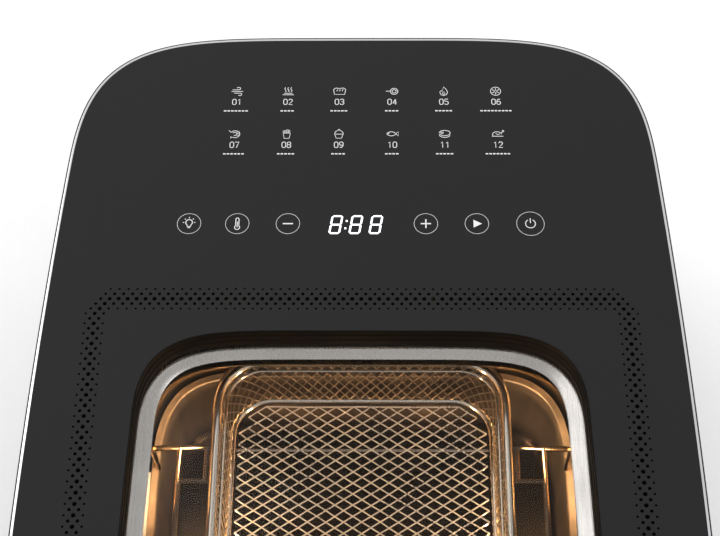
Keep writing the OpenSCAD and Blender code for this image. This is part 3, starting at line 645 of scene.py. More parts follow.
@dataclass(frozen=True)
class Finish:
    """A real material with its process: colours, gloss and the relief of its surface."""

    name: str
    colour: str
    second: str
    roughness: float
    spread: float = 0.05
    metallic: float = 0.0
    grain: Grain = Grain.EVEN
    grain_mm: float = 0.6
    relief_mm: float = 0.02
    alpha: float = 1.0
    glow: str = ""
    glow_strength: float = 0.0
    low_colour: str = ""
    low_z: tuple[float, float] = (0.0, 0.0)
    specular: float = 0.5

    def material(self) -> bpy.types.Material:
        """Build the material on the first call, and find it on later ones.

        Returns:
            The material.
        """
        found = bpy.data.materials.get(self.name)
        if found:
            return found
        made = bpy.data.materials.new(self.name)
        made.use_nodes = True
        tree = made.node_tree
        shader = tree.nodes["Principled BSDF"]
        shader.inputs["Metallic"].default_value = self.metallic
        shader.inputs["Alpha"].default_value = self.alpha
        shader.inputs["Specular IOR Level"].default_value = self.specular
        if self.glow:
            shader.inputs["Emission Color"].default_value = linear(self.glow)
            shader.inputs["Emission Strength"].default_value = self.glow_strength
        place = add_node(tree, "ShaderNodeTexCoord")
        stretch = add_node(tree, "ShaderNodeMapping", {"Scale": self.grain.value},
                           {"Vector": place.outputs["Object"]})
        fine = add_node(tree, "ShaderNodeTexNoise", {"Scale": 1000 / self.grain_mm, "Detail": 3.0},
                        {"Vector": stretch.outputs[0]})
        broad = add_node(tree, "ShaderNodeTexNoise", {"Scale": 28.0, "Detail": 4.0, "Roughness": 0.6},
                         {"Vector": place.outputs["Object"]})
        blend = calc(tree, "MULTIPLY_ADD", fine.outputs["Fac"], 0.5,
                     calc(tree, "MULTIPLY", broad.outputs["Fac"], 0.5))
        ramp = add_node(tree, "ShaderNodeMapRange", {"From Min": 0.32, "From Max": 0.68}, {"Value": blend})
        colour = add_node(tree, "ShaderNodeMix", {"data_type": "RGBA", 6: linear(self.colour),
                                                  7: linear(self.second)}, {0: ramp.outputs[0]})
        result = colour.outputs[2]
        # Below low_z the colour fades to low_colour, painted shade at the bottom of the piece
        if self.low_colour:
            height = add_node(tree, "ShaderNodeSeparateXYZ", links={0: place.outputs["Object"]})
            low = add_node(tree, "ShaderNodeMapRange",
                           {"From Min": self.low_z[0] * MM, "From Max": self.low_z[1] * MM},
                           {"Value": height.outputs[2]})
            shaded_low = add_node(tree, "ShaderNodeMix", {"data_type": "RGBA", 6: linear(self.low_colour)},
                               {0: low.outputs[0], 7: result})
            result = shaded_low.outputs[2]
        tree.links.new(result, shader.inputs["Base Color"])
        gloss = add_node(tree, "ShaderNodeMapRange",
                         {"From Min": 0.3, "From Max": 0.7, "To Min": max(0.02, self.roughness - self.spread),
                          "To Max": self.roughness + self.spread}, {"Value": blend})
        tree.links.new(gloss.outputs[0], shader.inputs["Roughness"])
        if self.relief_mm:
            bump = add_node(tree, "ShaderNodeBump", {"Strength": 0.6, "Distance": self.relief_mm * MM},
                            {"Height": fine.outputs["Fac"]})
            tree.links.new(bump.outputs[0], shader.inputs["Normal"])
        return made


# Each finish's comment says what it gives the eye.
FINISHES: dict[str, Finish] = {
    # Fine spark-eroded black: dull, with a faint sparkle of its grain
    "shell_plastic": Finish("abs_spark_eroded", "19191a", "1f1f20", 0.52, grain_mm=0.7,
                            relief_mm=0.03, specular=0.3),
    # Soft matte lid: even charcoal with almost no gloss
    "panel_plastic": Finish("abs_soft_matte", "151516", "19191a", 0.6, grain_mm=0.5,
                            relief_mm=0.012, specular=0.2),
    # Matte black steps that stay darker than the lid
    "bezel_plastic": Finish("pbt_moulded", "060606", "090909", 0.6,
                            grain_mm=0.6, relief_mm=0.01, specular=0.05),
    # Bright rolled trim with a fine brushed line along it
    "trim_metal": Finish("aluminium_polished", "d6d6d8", "c6c6c9", 0.2, 0.06, 1.0, Grain.BRUSHED_Y,
                         0.4, 0.004),
    # Dead black, with no gloss to speak of
    "rubber_black": Finish("epdm_moulded", "131313", "1b1b1b", 0.75, grain_mm=0.9, relief_mm=0.03),
    # Small pale highlights on the screw heads
    "screw_steel": Finish("steel_zinc_plated", "b9babd", "9d9ea2", 0.3, 0.08, 1.0, grain_mm=0.8,
                          relief_mm=0.01),
    # Clear toughened pane: only its gloss shows
    "tempered_glass": Finish("soda_lime_toughened", "0e1413", "131a19", 0.03, 0.01, alpha=0.07,
                             grain_mm=9, relief_mm=0),
    # Satin drawn steel band between the panes
    "neck_steel": Finish("stainless_drawn", "bdbab6", "a8a5a1", 0.26, 0.06, 1.0, Grain.BRUSHED_Y,
                         0.5, 0.004),
    # Bright annealed cavity sheet, slightly straw coloured by heat
    "liner_steel": Finish("stainless_bright_annealed", "bba98d", "8a7660", 0.24, 0.03, 1.0,
                          Grain.BRUSHED_Z, 9, 0.003),
    # Mottled grey sheet inside the housing
    "sheet_steel": Finish("steel_galvanised", "9a9b9d", "808285", 0.42, 0.1, 1.0, grain_mm=6,
                          relief_mm=0.01),
    # Dark brown-grey rod with a dull shine
    "heater_sheath": Finish("incoloy_oxidised", "4a423e", "5f554e", 0.5, 0.1, 1.0, grain_mm=1.2,
                            relief_mm=0.02),
    # Grey stack with lines along it
    "motor_steel": Finish("steel_laminated", "6b6d70", "5a5c5f", 0.45, 0.1, 1.0, Grain.BRUSHED_X,
                          0.5, 0.03),
    # Dull yellow-brown bushes
    "bronze": Finish("bronze_sintered", "9c7b45", "86683a", 0.45, 0.1, 1.0, grain_mm=0.4, relief_mm=0.02),
    # Bright smooth rod
    "shaft_steel": Finish("steel_ground", "c4c4c6", "b0b0b3", 0.18, 0.05, 1.0, grain_mm=0.4,
                          relief_mm=0.004),
    # Pale soft shine on the blades
    "fan_aluminium": Finish("aluminium_pressed", "b4b5b7", "9fa0a3", 0.35, 0.1, 1.0, grain_mm=1.5,
                            relief_mm=0.01),
    # Even dark grey, slightly rough
    "fan_plastic": Finish("nylon_glass_filled", "3c3d3f", "47484a", 0.6, grain_mm=0.5, relief_mm=0.02),
    # Yellow shine on one small nut
    "nut_brass": Finish("brass_turned", "c2a154", "a98b45", 0.28, 0.08, 1.0, grain_mm=0.6, relief_mm=0.01),
    # Green solder mask, faintly mottled
    "circuit_board": Finish("fr4_solder_masked", "17482e", "1f5a3a", 0.35, 0.08, grain_mm=3.5,
                            relief_mm=0.03),
    # Milky white block
    "display_lens": Finish("polycarbonate_diffuser", "d9d9d6", "cfcfcc", 0.5, grain_mm=0.8, relief_mm=0.01),
    # Plain dark grey moulding
    "duct_plastic": Finish("pbt_duct", "343436", "3d3d3f", 0.6, grain_mm=0.8, relief_mm=0.02),
    # Loose pale wool
    "mineral_wool": Finish("mineral_wool_felted", "c3bda6", "a39c84", 0.95, 0.03, grain_mm=2.2,
                           relief_mm=0.9),
    # Yellow metal cup round each lamp
    "lamp_body": Finish("brass_lamp_cup", "b8954e", "a28142", 0.35, 0.1, 1.0, grain_mm=0.8, relief_mm=0.01),
    # Lit lamp lens, warm
    "lamp_glass": Finish("borosilicate_frosted", "ffdca6", "ffe8c4", 0.4, glow="ffb867",
                         glow_strength=6.0, grain_mm=1.2, relief_mm=0.03),
    # Thin bright tube
    "probe_steel": Finish("stainless_tube", "c6c6c6", "b2b2b2", 0.3, 0.08, 1.0, grain_mm=0.5,
                          relief_mm=0.006),
    # Cream block with a slight shine
    "ceramic_white": Finish("steatite_fired", "e4ddcf", "d8cfbd", 0.45, grain_mm=0.9, relief_mm=0.02),
    # Small blue-grey block
    "sensor_plastic": Finish("pbt_sensor", "3b3f43", "44484c", 0.55, grain_mm=0.6, relief_mm=0.02),
    # Cool silver block
    "magnet_nickel": Finish("nickel_plated", "a9afba", "949aa6", 0.25, 0.06, 1.0, grain_mm=0.8,
                            relief_mm=0.006),
    # Charcoal face, a shade lighter than the shell
    "drawer_plastic": Finish("abs_spark_eroded_face", "262627", "2d2d2e", 0.5, grain_mm=0.7,
                             relief_mm=0.03),
    # Grey plate behind the drawer's face
    "inner_plastic": Finish("ppa_moulded", "37373a", "404043", 0.6, grain_mm=0.9, relief_mm=0.02),
    # Dull red-brown lip round the plate
    "silicone": Finish("silicone_lip", "38221e", "422a25", 0.6, grain_mm=1.0, relief_mm=0.02),
    # Dark grip with a softer shine than the face
    "handle_plastic": Finish("abs_soft_touch", "1f1f21", "262628", 0.42, grain_mm=0.5, relief_mm=0.01),
    # Bright pan walls that darken towards the floor: near-black brown painted there as shade under the basket
    "pan_coating": Finish("steel_shaded_floor", "8f8070", "524940", 0.32, 0.04, 0.9, Grain.BRUSHED_Z,
                          11, 0.002, low_colour="140e0a", low_z=(76, 92)),
    # Bright nickel plate on round wire
    "basket_steel": Finish("wire_nickel_plated", "d8d0c4", "bdb3a4", 0.14, 0.06, 1.0, grain_mm=0.9,
                           relief_mm=0.004),
    # Slit and stretched mesh, warm silver
    "mesh_steel": Finish("stainless_stretched_mesh", "ece7de", "d0c9bd", 0.3, 0.1, 1.0,
                         grain_mm=1.2, relief_mm=0.01),
}
# Flat white screen print
PRINT = Finish("ink_screen_printed", "e9e9ea", "d9d9db", 0.55, grain_mm=0.3, relief_mm=0.004)
# White segments lit from behind
SEGMENT = Finish("segment_lit", "f2f4f6", "e6e9ec", 0.4, glow="f4f7ff", glow_strength=1.1,
                 grain_mm=0.5, relief_mm=0)
# Strands of the basket's wall: the mesh steel darkened as painted shade
SHADED_WALL_MESH = Finish("stainless_mesh_painted_shade", "a79d90", "847a6d", 0.34, 0.1, 1.0,
                   grain_mm=1.4, relief_mm=0.01)
# Rail wires, browned by heat
RAIL_WIRE = Finish("wire_heat_tinted", "6f5d49", "4f4235", 0.22, 0.08, 1.0, grain_mm=1.2, relief_mm=0.004)
# Pale studio floor
FLOOR = Finish("plaster_painted", "fbfbfb", "f8f8f8", 0.9, 0.02, grain_mm=4, relief_mm=0)


def dress(piece: Piece, finish: Finish) -> None:
    """Give the whole piece one finish."""
    piece.data.materials.clear()
    piece.data.materials.append(finish.material())


def deliver(piece: Piece, body: str, slot: str, nodes: tuple[str, ...] = (),
            finish: Finish | None = None) -> None:
    """Dress a piece, set it on its body, hide the CAD nodes it replaces and log it.

    Args:
        piece: Finished mesh at the origin.
        body: CAD body it rides on.
        slot: Material slot of the record.
        nodes: CAD nodes it replaces.
        finish: Finish, when it isn't the slot's own.
    """
    dress(piece, finish or FINISHES[slot])
    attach(piece, body)
    if nodes:
        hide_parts(*nodes)
    LOG.info("%s: %d faces on %s", piece.name, len(piece.data.polygons), body)


# ---------------------------------------------------------------- assemblies

BODY = SoftRectangle(420, 90, 3.2, 5, 160, 12, 228)
WINDOW = SoftRectangle(197, 45, 2.5, 6.2, 110, 2.5, 47)
LINER = SoftRectangle(474, 60, 2.6, 7, 112, 0, 66)
PAN = SoftRectangle(468, 54, 2.6, 7, 107, 0, 62)
BACK_Y = 228.0
FACE_Z = 215.0
INK = (214.97, 215.03)  # from just under the lid's face to just over it
PANE = (198.4, 202.4)
INNER_PANE = (183.8, 187.0)
GASKET_LOW = 197.4


@dataclass
class Housing:
    """Outer shell, trim ring and lid panel."""

    wall: float = 2.5
    ledge: float = 9.0
    lip: float = 0.6
    trim: float = 1.4
    panel: float = 3.0
    seat: float = 209.05
    band_setback: float = 279.5
    opening: tuple[float, float, float] = (129.5, 32.5, 185.3)
    cover: tuple[float, float, float] = (50.3, 45.7, 166.3)

    def build(self, trees: Trees) -> None:
        """Make the shell, the trim and the perforated lid.

        Args:
            trees: The Geometry Nodes trees.
        """
        self.shell()
        inner = self.lip + self.trim
        profile = ((self.lip, self.seat), (self.lip, 214.8), (self.lip + 0.15, 214.97),
                   (self.lip + 0.4, FACE_Z), (inner - 0.4, FACE_Z), (inner - 0.15, 214.97),
                   (inner, 214.8), (inner, self.seat))
        ring = swept("polished_trim", BODY, [(-inset, z) for inset, z in profile])
        deliver(ring, "housing", "trim_metal", ("trim_ring",))
        outer, window = BODY.outline(-inner), WINDOW.outline(0.0)
        edges = [(i, (i + 1) % len(outer)) for i in range(len(outer))]
        edges += [(len(outer) + i, len(outer) + (i + 1) % len(window)) for i in range(len(window))]
        plate = make_mesh("plate", at(outer, 0) + at(window, 0), [], tuple(edges))
        grown(plate, trees.panel, {"Centre Y": (BACK_Y - self.band_setback) * MM,
                                   "Thickness": self.panel * MM,
                                   "Material": FINISHES["panel_plastic"].material()})
        rim = swept("rim", BODY, [(-inner, self.seat), (-inner, FACE_Z - self.panel),
                                  (-5.0, FACE_Z - self.panel), (-5.0, self.seat)])
        deliver(joined("lid_panel", [plate, rim]), "housing", "panel_plastic", ("top_panel",))

    def shell(self) -> None:
        """Make the shell with its drawer opening, cover opening, slots and cord hole."""
        profile = ((2.5, 12), (0.9, 12), (0.25, 12.3), (0, 13), (0, 60), (0, 120), (0, 180), (0, 214.7),
                   (0.08, 214.92), (0.3, 215), (0.5, 214.95), (self.lip, 214.7), (self.lip, 209),
                   (self.ledge, 209), (self.ledge, 206), (self.wall, 206))
        body = swept("outer_shell", BODY, [(-inset, z) for inset, z in profile])
        half, low, high = self.opening
        cover, cover_low, cover_high = self.cover
        cutters = [box_cutter(-half, half, -194, -102, low, high),
                   box_cutter(-cover, cover, 222, 230, cover_low, cover_high),
                   rod_cutter((-34, 226, 24), "y", 7.0, 12)]
        cutters += [box_cutter(-170, 170, BACK_Y - 60 - 9 * i, BACK_Y - 56 - 9 * i, 34, 74) for i in range(7)]
        cut_away(body, cutters)
        nodes = ("top_frame", "back_panel", "side_panel_left", "side_panel_right", "front_frame")
        frame_bar = box_cutter(-58, 58, 222.4, 225.4, 38, 174)
        cut_away(frame_bar, [box_cutter(-42, 42, 220, 228, 54, 158)])
        deliver(joined("outer_shell_panels", [body, frame_bar]), "housing", "shell_plastic", nodes)


@dataclass
class WindowStack:
    """Stepped bezel, two panes, gasket and steel neck."""

    step_h: float = 4.2
    step_w: float = 0.4
    grow: float = 4.0
    edge: float = 1.2
    bevel: tuple[float, float] = (6.8, 1.8)

    def build(self) -> None:
        """Make the window from the bezel down."""
        profile: list[tuple[float, float]] = [(8.0, 211.9), (-0.02, 211.9), (-0.02, 214.85), (-0.12, 214.98)]
        for i in range(3):
            edge, top = -self.step_w * (i + 1), FACE_Z - self.step_h * i
            profile += [(edge + 0.08, top - 0.02), (edge, top - 0.12), (edge, top - self.step_h + 0.1)]
        profile += [(-self.edge, PANE[1]), (self.grow + 0.2, PANE[1]), (self.grow + 0.2, INNER_PANE[0]),
                    (8.0, INNER_PANE[0])]
        bezel = swept("window_bezel_steps", WINDOW, profile, 25)
        deliver(bezel, "housing", "bezel_plastic", ("window_bezel",))
        for name, (low, high), node in (("outer_pane", PANE, "window_glass"),
                                        ("inner_pane", INNER_PANE, "inner_glass")):
            pane = bevelled(slab(name, WINDOW.outline(self.grow), low, high), 0.5, 2)
            deliver(pane, "housing", "tempered_glass", (node,))
        seal = [(self.grow, PANE[0]), (-0.5, PANE[0]), (-0.6, 198.2), (-0.6, 197.6), (-0.5, GASKET_LOW),
                (self.grow, GASKET_LOW)]
        deliver(swept("pane_gasket", WINDOW, seal), "housing", "rubber_black", ("window_gasket",))
        edge, lip = -self.edge, GASKET_LOW - self.bevel[1]
        band = [(self.grow, GASKET_LOW), (edge, GASKET_LOW), (edge - 0.3, 197.28), (edge - 3.2, 196.6),
                (edge - 6.3, lip + 0.1), (edge - self.bevel[0], lip - 0.25), (edge - 6.3, lip - 0.6),
                (edge - 0.8, 196.0), (edge, 195.4), (edge, INNER_PANE[1]), (self.grow, INNER_PANE[1])]
        rings = [at([self.narrowed(point, g) for point in WINDOW.outline(g)], z) for g, z in band]
        deliver(skin("steel_neck", rings, closed=True), "housing", "neck_steel", ("window_neck",))

    def narrowed(self, point: tuple[float, float], grow: float) -> tuple[float, float]:
        """Let the bevel be narrower along the back than along the sides."""
        share = max(0.0, (point[1] + 60) / 107)
        return point[0], point[1] + max(0.0, -self.edge - grow) * 0.32 * share


@dataclass
class Cavity:
    """Steel liner and the drip pan that slides in it."""

    front: float = -171.0
    keep: float = -160.0
    sheet: float = 1.2
    mouth: float = 111.6
    pan_front: float = -172.0

    def wall_loop(self, plan: SoftRectangle, grow: float, z: float, front: float, radius: float) -> Loop:
        """One level of a wall that is straight at the front.

        Args:
            plan: Outline of the wall.
            grow: Distance outward.
            z: Height.
            front: Where the straight front lies.
            radius: Radius of the front corners.

        Returns:
            The loop.
        """
        kept = [p for p in plan.outline(grow) if p[1] > self.keep]
        gaps = [math.dist(kept[i - 1], kept[i]) for i in range(len(kept))]
        start = gaps.index(max(gaps))
        kept = kept[start:] + kept[:start]
        half = kept[0][0]
        turn = [math.radians(90 * i / 8) for i in range(9)]
        left = [(-half + radius - radius * math.cos(a), front + radius - radius * math.sin(a)) for a in turn]
        right = [(half - radius + radius * math.sin(a), front + radius - radius * math.cos(a)) for a in turn]
        return at(kept + left + right, z)

    def build(self) -> None:
        """Make the liner and the pan."""
        levels = [(self.sheet, 65.8), (self.sheet, 182.6), (0.0, 182.6), (0.0, 73.0), (-0.5, 70.7),
                  (-1.8, 68.8), (-3.7, 67.5), (-6.0, 67.0)]
        loops = [self.wall_loop(LINER, g, z, self.front - g * 0.5, 3.0) for g, z in levels]
        liner = skin("liner_wall", loops, closed=False)
        cutters = [box_cutter(-self.mouth, self.mouth, -174, -168.5, 67.4, 190),
                   rod_cutter((0, 66, 130), "y", 46, 12)]
        cutters += [rod_cutter((side * 113, -92, 153), "x", 14.05, 8) for side in (1, -1)]
        cut_away(liner, cutters)
        plate = swept("liner_top", WINDOW, [(-3.0, 182.6), (-3.0, 183.75), (9.0, 183.75), (9.0, 182.6)])
        flange = box_cutter(-127.5, 127.5, -171.0, -169.8, 65.8, 183.8)
        cut_away(flange, [box_cutter(-self.mouth, self.mouth, -174, -166, 67.4, 182.5)])
        deliver(joined("cavity_liner_sheet", [liner, plate, flange]), "housing", "liner_steel",
                ("cavity_liner",))
        # Level by level: distance outward, height and whether the lip's front is straight
        rows = [(-6.0, 71.8, 0), (-2.0, 72.6, 0), (0.0, 75.5, 0), (0.0, 133.8, 0), (2.6, 133.8, 1),
                (3.0, 134.4, 1), (2.6, 135.0, 1), (-0.6, 135.0, 0), (-1.2, 134.4, 0), (-1.2, 79.5, 0),
                (-1.9, 76.6, 0), (-3.6, 74.5, 0), (-5.6, 73.3, 0), (-8.0, 73.0, 0)]
        front = self.pan_front
        loops = [self.wall_loop(PAN, g, z, front if lip else front + max(0.0, -g), 6.0) for g, z, lip in rows]
        pan = skin("drip_pan_pressing", loops, closed=False)
        deliver(pan, "drawer", "pan_coating", ("drip_pan",))


def wire_paths(name: str, paths: list[tuple[Loop, bool]]) -> Piece:
    """Make loose edge paths for a tree to follow.

    Args:
        name: Name of the piece.
        paths: Points of each path and whether it closes.

    Returns:
        A mesh of edges.
    """
    points: Loop = []
    edges: list[tuple[int, int]] = []
    for path, closed in paths:
        first = len(points)
        points += path
        edges += [(first + i, first + i + 1) for i in range(len(path) - 1)]
        if closed:
            edges.append((first + len(path) - 1, first))
    return make_mesh(name, points, [], tuple(edges))


@dataclass
class Basket:
    """Rolled rim, mesh wall and floor, floor ring and the rails that carry it."""

    centre_y: float = -50.0
    rim_half: tuple[float, float] = (73.5, 104.5)
    ring_half: tuple[float, float] = (69.0, 100.0)
    rim_corner: float = 23.5
    ring_corner: float = 21.25
    rim_z: float = 165.0
    ring_z: float = 128.0
    cell: tuple[float, float] = (9.4, 6.2)
    wall_cell: tuple[float, float] = (5.6, 8.4)
    bead_drop: float = 2.2
    bead_inset: float = 3.9

    def loop(self, half: tuple[float, float], corner: float, inset: float = 0.0) -> Outline:
        """Rounded rectangle about the basket's middle."""
        return rounded_outline(-half[0] + inset, half[0] - inset, self.centre_y - half[1] + inset,
                               self.centre_y + half[1] - inset, corner - inset, 14)

    def build(self, trees: Trees) -> None:
        """Make the basket and its rails.

        Args:
            trees: The Geometry Nodes trees.
        """
        outer = self.loop((self.rim_half[0] + 0.6, self.rim_half[1] + 1.6), self.rim_corner + 1)
        self.hoop(trees, "rolled_rim", at(self.loop(self.rim_half, self.rim_corner), self.rim_z), 2.5, 18,
                  ("basket_rim",))
        self.hoop(trees, "rim_outer_bead", [(x, y + 3.2, self.rim_z) for x, y in outer], 0.9, 10)
        self.hoop(trees, "rim_bead", at(self.loop(self.rim_half, self.rim_corner, self.bead_inset),
                                        self.rim_z - self.bead_drop), 0.8, 10)
        self.hoop(trees, "floor_ring_wire", at(self.loop(self.ring_half, self.ring_corner), self.ring_z),
                  2.0, 16, ("floor_ring",))
        self.floor(trees)
        self.wall(trees)
        for side, label in ((-1, "left"), (1, "right")):
            self.rail(trees, side, label)

    def hoop(self, trees: Trees, name: str, loop: Loop, radius: float, sides: int,
             nodes: tuple[str, ...] = ()) -> None:
        """Bright round wire along a closed loop.

        Args:
            trees: The Geometry Nodes trees.
            name: Name of the piece.
            loop: Middle of the wire.
            radius: Its radius.
            sides: Sides of its section.
            nodes: CAD nodes it replaces.
        """
        wire = wire_paths(name, [(loop, True)])
        grown(wire, trees.wire, {"Radius": radius * MM, "Sides": sides,
                                 "Material": FINISHES["basket_steel"].material()})
        deliver(wire, "basket", "basket_steel", nodes)

    def floor(self, trees: Trees) -> None:
        """Stretched diamond mesh across the floor ring.

        Args:
            trees: The Geometry Nodes trees.
        """
        half_x, half_y = self.ring_half[0] - 1.6, self.ring_half[1] - 1.6
        corner = self.ring_corner - 1.6
        step_x, step_y = self.cell[0] / 2, self.cell[1] / 2

        def inside(x: float, y: float) -> bool:
            """Whether a point lies within the floor ring.

            Args:
                x: Distance right of the ring's middle.
                y: Distance behind it.

            Returns:
                True inside.
            """
            dx = max(0.0, abs(x) - half_x + corner)
            dy = max(0.0, abs(y) - half_y + corner)
            return abs(x) <= half_x and abs(y) <= half_y and math.hypot(dx, dy) <= corner

        columns, rows = int(half_x / step_x) + 2, int(half_y / step_y) + 2
        paths: list[tuple[Loop, bool]] = []
        for row in range(-rows, rows):
            run: Loop = []
            for column in range(-columns, columns + 1):
                x, y = column * step_x, (row + (column + row) % 2) * step_y
                if inside(x, y):
                    run.append((x, self.centre_y + y, self.ring_z))
            if len(run) > 1:
                paths.append((run, False))
        mesh = wire_paths("basket_floor_mesh", paths)
        grown(mesh, trees.strand, {"Strand Width": 0.68 * MM, "Strand Height": 0.7 * MM, "Wobble": 1.1 * MM,
                                   "Wobble Scale": 70.0, "Seed": 3.0,
                                   "Material": FINISHES["mesh_steel"].material()})
        deliver(mesh, "basket", "mesh_steel", ("basket_floor",))

    def wall(self, trees: Trees) -> None:
        """Stretched mesh wall between the rim and the floor ring.

        Args:
            trees: The Geometry Nodes trees.
        """
        top = self.even(self.loop(self.rim_half, self.rim_corner))
        low = self.even(self.loop(self.ring_half, self.ring_corner))
        count = len(top)
        high_z, low_z = self.rim_z - self.bead_drop, self.ring_z + 1.8
        rows = round((high_z - low_z) / (self.wall_cell[1] / 2))
        paths: list[tuple[Loop, bool]] = []
        for column in range(count):
            run: Loop = []
            for row in range(rows + 1):
                pick = (column + (row + column) % 2) % count
                t = row / rows
                run.append((top[pick][0] * (1 - t) + low[pick][0] * t,
                            top[pick][1] * (1 - t) + low[pick][1] * t, high_z * (1 - t) + low_z * t))
            paths.append((run, False))
        mesh = wire_paths("basket_wall_mesh", paths)
        # The wall's strands take a darker copy of the floor's mesh steel: painted shade
        grown(mesh, trees.strand, {"Strand Width": 0.65 * MM, "Strand Height": 0.5 * MM, "Wobble": 1.0 * MM,
                                   "Wobble Scale": 55.0, "Seed": 8.0, "Material": SHADED_WALL_MESH.material()})
        deliver(mesh, "basket", "mesh_steel", ("basket_wall",), SHADED_WALL_MESH)

    def even(self, loop: Outline) -> Outline:
        """Points spaced evenly round a loop, one each half cell of the wall.

        Args:
            loop: Closed outline.

        Returns:
            An even number of points.
        """
        closed = loop + [loop[0]]
        lengths = [0.0]
        for a, b in zip(closed, closed[1:]):
            lengths.append(lengths[-1] + math.dist(a, b))
        perimeter = (2 * (sum(self.rim_half) + sum(self.ring_half))
                     - (self.rim_corner + self.ring_corner) * (4 - math.pi))
        count = 2 * round(perimeter / self.wall_cell[0])
        out, k = [], 0
        for i in range(count):
            reach = lengths[-1] * i / count
            while lengths[k + 1] < reach:
                k += 1
            t = (reach - lengths[k]) / max(1e-9, lengths[k + 1] - lengths[k])
            out.append((closed[k][0] * (1 - t) + closed[k + 1][0] * t,
                        closed[k][1] * (1 - t) + closed[k + 1][1] * t))
        return out

    def rail(self, trees: Trees, side: int, label: str) -> None:
        """Wire rail on one side of the pan.

        Args:
            trees: The Geometry Nodes trees.
            side: -1 for left, 1 for right.
            label: Name of the side.
        """
        z, foot_z, runner, hook, post, inner, bend = 160.7, 134.4, 92.0, 78.2, 106.4, 74.3, 4.0
        stops = [BACK_Y - d for d in (220, 238, 337, 355)]
        paths: list[tuple[Loop, bool]] = [
            ([(side * runner, stops[0], z), (side * runner, stops[3], z)], False)]
        for y in (stops[0], stops[3]):
            turn = [(side * (post - bend + bend * math.cos(a)), y, z - bend + bend * math.sin(a))
                    for a in (math.radians(90 * i / 6) for i in range(7))]
            paths.append(([(side * post, y, foot_z)] + turn + [(side * inner, y, z)], False))
        for y in (stops[1], stops[2]):
            paths.append(([(side * runner, y, z), (side * inner, y, z)], False))
        for a, b in ((0, 1), (2, 3)):
            paths.append(([(side * hook, stops[a], z), (side * hook, stops[b], z)], False))
        wires = wire_paths(f"rail_wires_{label}", paths)
        grown(wires, trees.wire, {"Radius": 1.5 * MM, "Sides": 12, "Material": RAIL_WIRE.material()})
        deliver(wires, "drawer", "basket_steel", (f"basket_rail_{label}",), RAIL_WIRE)


@dataclass
class Drawer:
    """Curved drawer face and its bar handle."""

    half: float = 128.0
    low: float = 34.0
    high: float = 183.8
    thickness: float = 3.0
    handle_z: float = 137.8
    handle_h: float = 18.0
    handle_half: float = 85.0
    handle_grip: float = 22.0
    handle_end: float = 190.6
    screw_x: float = 70.0

    def build(self) -> None:
        """Make the face and the handle."""
        rows: list[Outline] = []
        for inset in (0.0, self.thickness):
            plan = BODY.outline(-inset)
            front = sorted(p for p in plan if p[1] < -150 and abs(p[0]) < self.half - 0.5)
            beyond = min((p for p in plan if p[1] < -120 and p[0] > self.half + 0.5), key=lambda p: p[0])
            last = front[-1]
            t = (self.half - last[0]) / (beyond[0] - last[0])
            edge = max(last[1] + (beyond[1] - last[1]) * t, *(p[1] for p in front))
            rows.append([(-self.half, edge)] + front + [(self.half, edge)])
        face = slab("face", rows[0] + list(reversed(rows[1])), self.low, self.high)
        cut_away(face, [rod_cutter((s * self.screw_x, -190, self.handle_z), "y", 2.05, 20) for s in (-1, 1)])
        piece = bevelled(joined("drawer_face", [face]), 1.0, 3, 50)
        deliver(piece, "drawer", "drawer_plastic", ("drawer_front",))
        half, hollow = self.handle_half, self.handle_half - self.handle_grip
        outer = rounded_outline(-half, half, -BACK_Y, -160, 11, 12)
        inner = rounded_outline(-hollow, hollow, 14 - BACK_Y, -150, 8, 10)
        rise = self.handle_h / 2
        bar = slab("drawer_handle_bar", outer, self.handle_z - rise, self.handle_z + rise)
        cut_away(bar, [slab("hollow", inner, 100, 180),
                       box_cutter(-120, 120, -self.handle_end, -140, 100, 180)])
        deliver(bevelled(bar, 4.2, 5, 50), "drawer", "handle_plastic", ("drawer_handle",))


# ---------------------------------------------------------------- printed marks and display

Stroke = list[tuple[float, float]]


def arc(cx: float, cy: float, rx: float, ry: float, start: float, end: float, steps: int = 14) -> Stroke:
    """Points along part of an ellipse, angles in degrees."""
    return [(cx + rx * math.cos(math.radians(start + (end - start) * i / steps)),
             cy + ry * math.sin(math.radians(start + (end - start) * i / steps))) for i in range(steps + 1)]


DIGITS: dict[str, list[Stroke]] = {
    "0": [[(1, 0), (0, 1.2), (0, 4.8), (1, 6), (3, 6), (4, 4.8), (4, 1.2), (3, 0), (1, 0)]],
    "1": [[(0.8, 4.8), (2.3, 6), (2.3, 0)]],
    "2": [[(0.1, 4.8), (1, 6), (3, 6), (4, 5), (3.8, 3.8), (0.1, 0), (4.1, 0)]],
    "3": [[(0.1, 5.2), (1, 6), (3, 6), (3.9, 5), (3.8, 3.9), (2.8, 3.2), (1.7, 3.2)],
          [(2.8, 3.2), (4, 2.3), (4, 1), (3, 0), (1, 0), (0, 0.9)]],
    "4": [[(3, 0), (3, 6)], [(3, 6), (0.1, 1.8)], [(0, 1.7), (4.3, 1.7)]],
    "5": [[(3.8, 6), (0.5, 6), (0.2, 3.3), (2.8, 3.6), (4, 2.6), (4, 1.1), (3, 0), (1, 0), (0, 0.9)]],
    "6": [[(3.6, 5.6), (2.4, 6), (0.9, 5.2), (0, 3.4), (0, 1.2), (1, 0), (3, 0), (4, 1.1), (4, 2.5), (3, 3.5),
           (1, 3.5), (0, 2.4)]],
    "7": [[(0, 6), (4, 6), (1.5, 0)]],
    "8": [[(1, 3.2), (0.2, 4), (0.2, 5.2), (1, 6), (3, 6), (3.8, 5.2), (3.8, 4), (3, 3.2), (1, 3.2), (0, 2.3),
           (0, 1), (1, 0), (3, 0), (4, 1), (4, 2.3), (3, 3.2)]],
    "9": [[(0.4, 0.5), (1.6, 0), (3.2, 0.8), (4, 2.6), (4, 4.8), (3, 6), (1, 6), (0, 4.9), (0, 3.6), (1, 2.6),
           (3, 2.6), (4, 3.6)]],
}


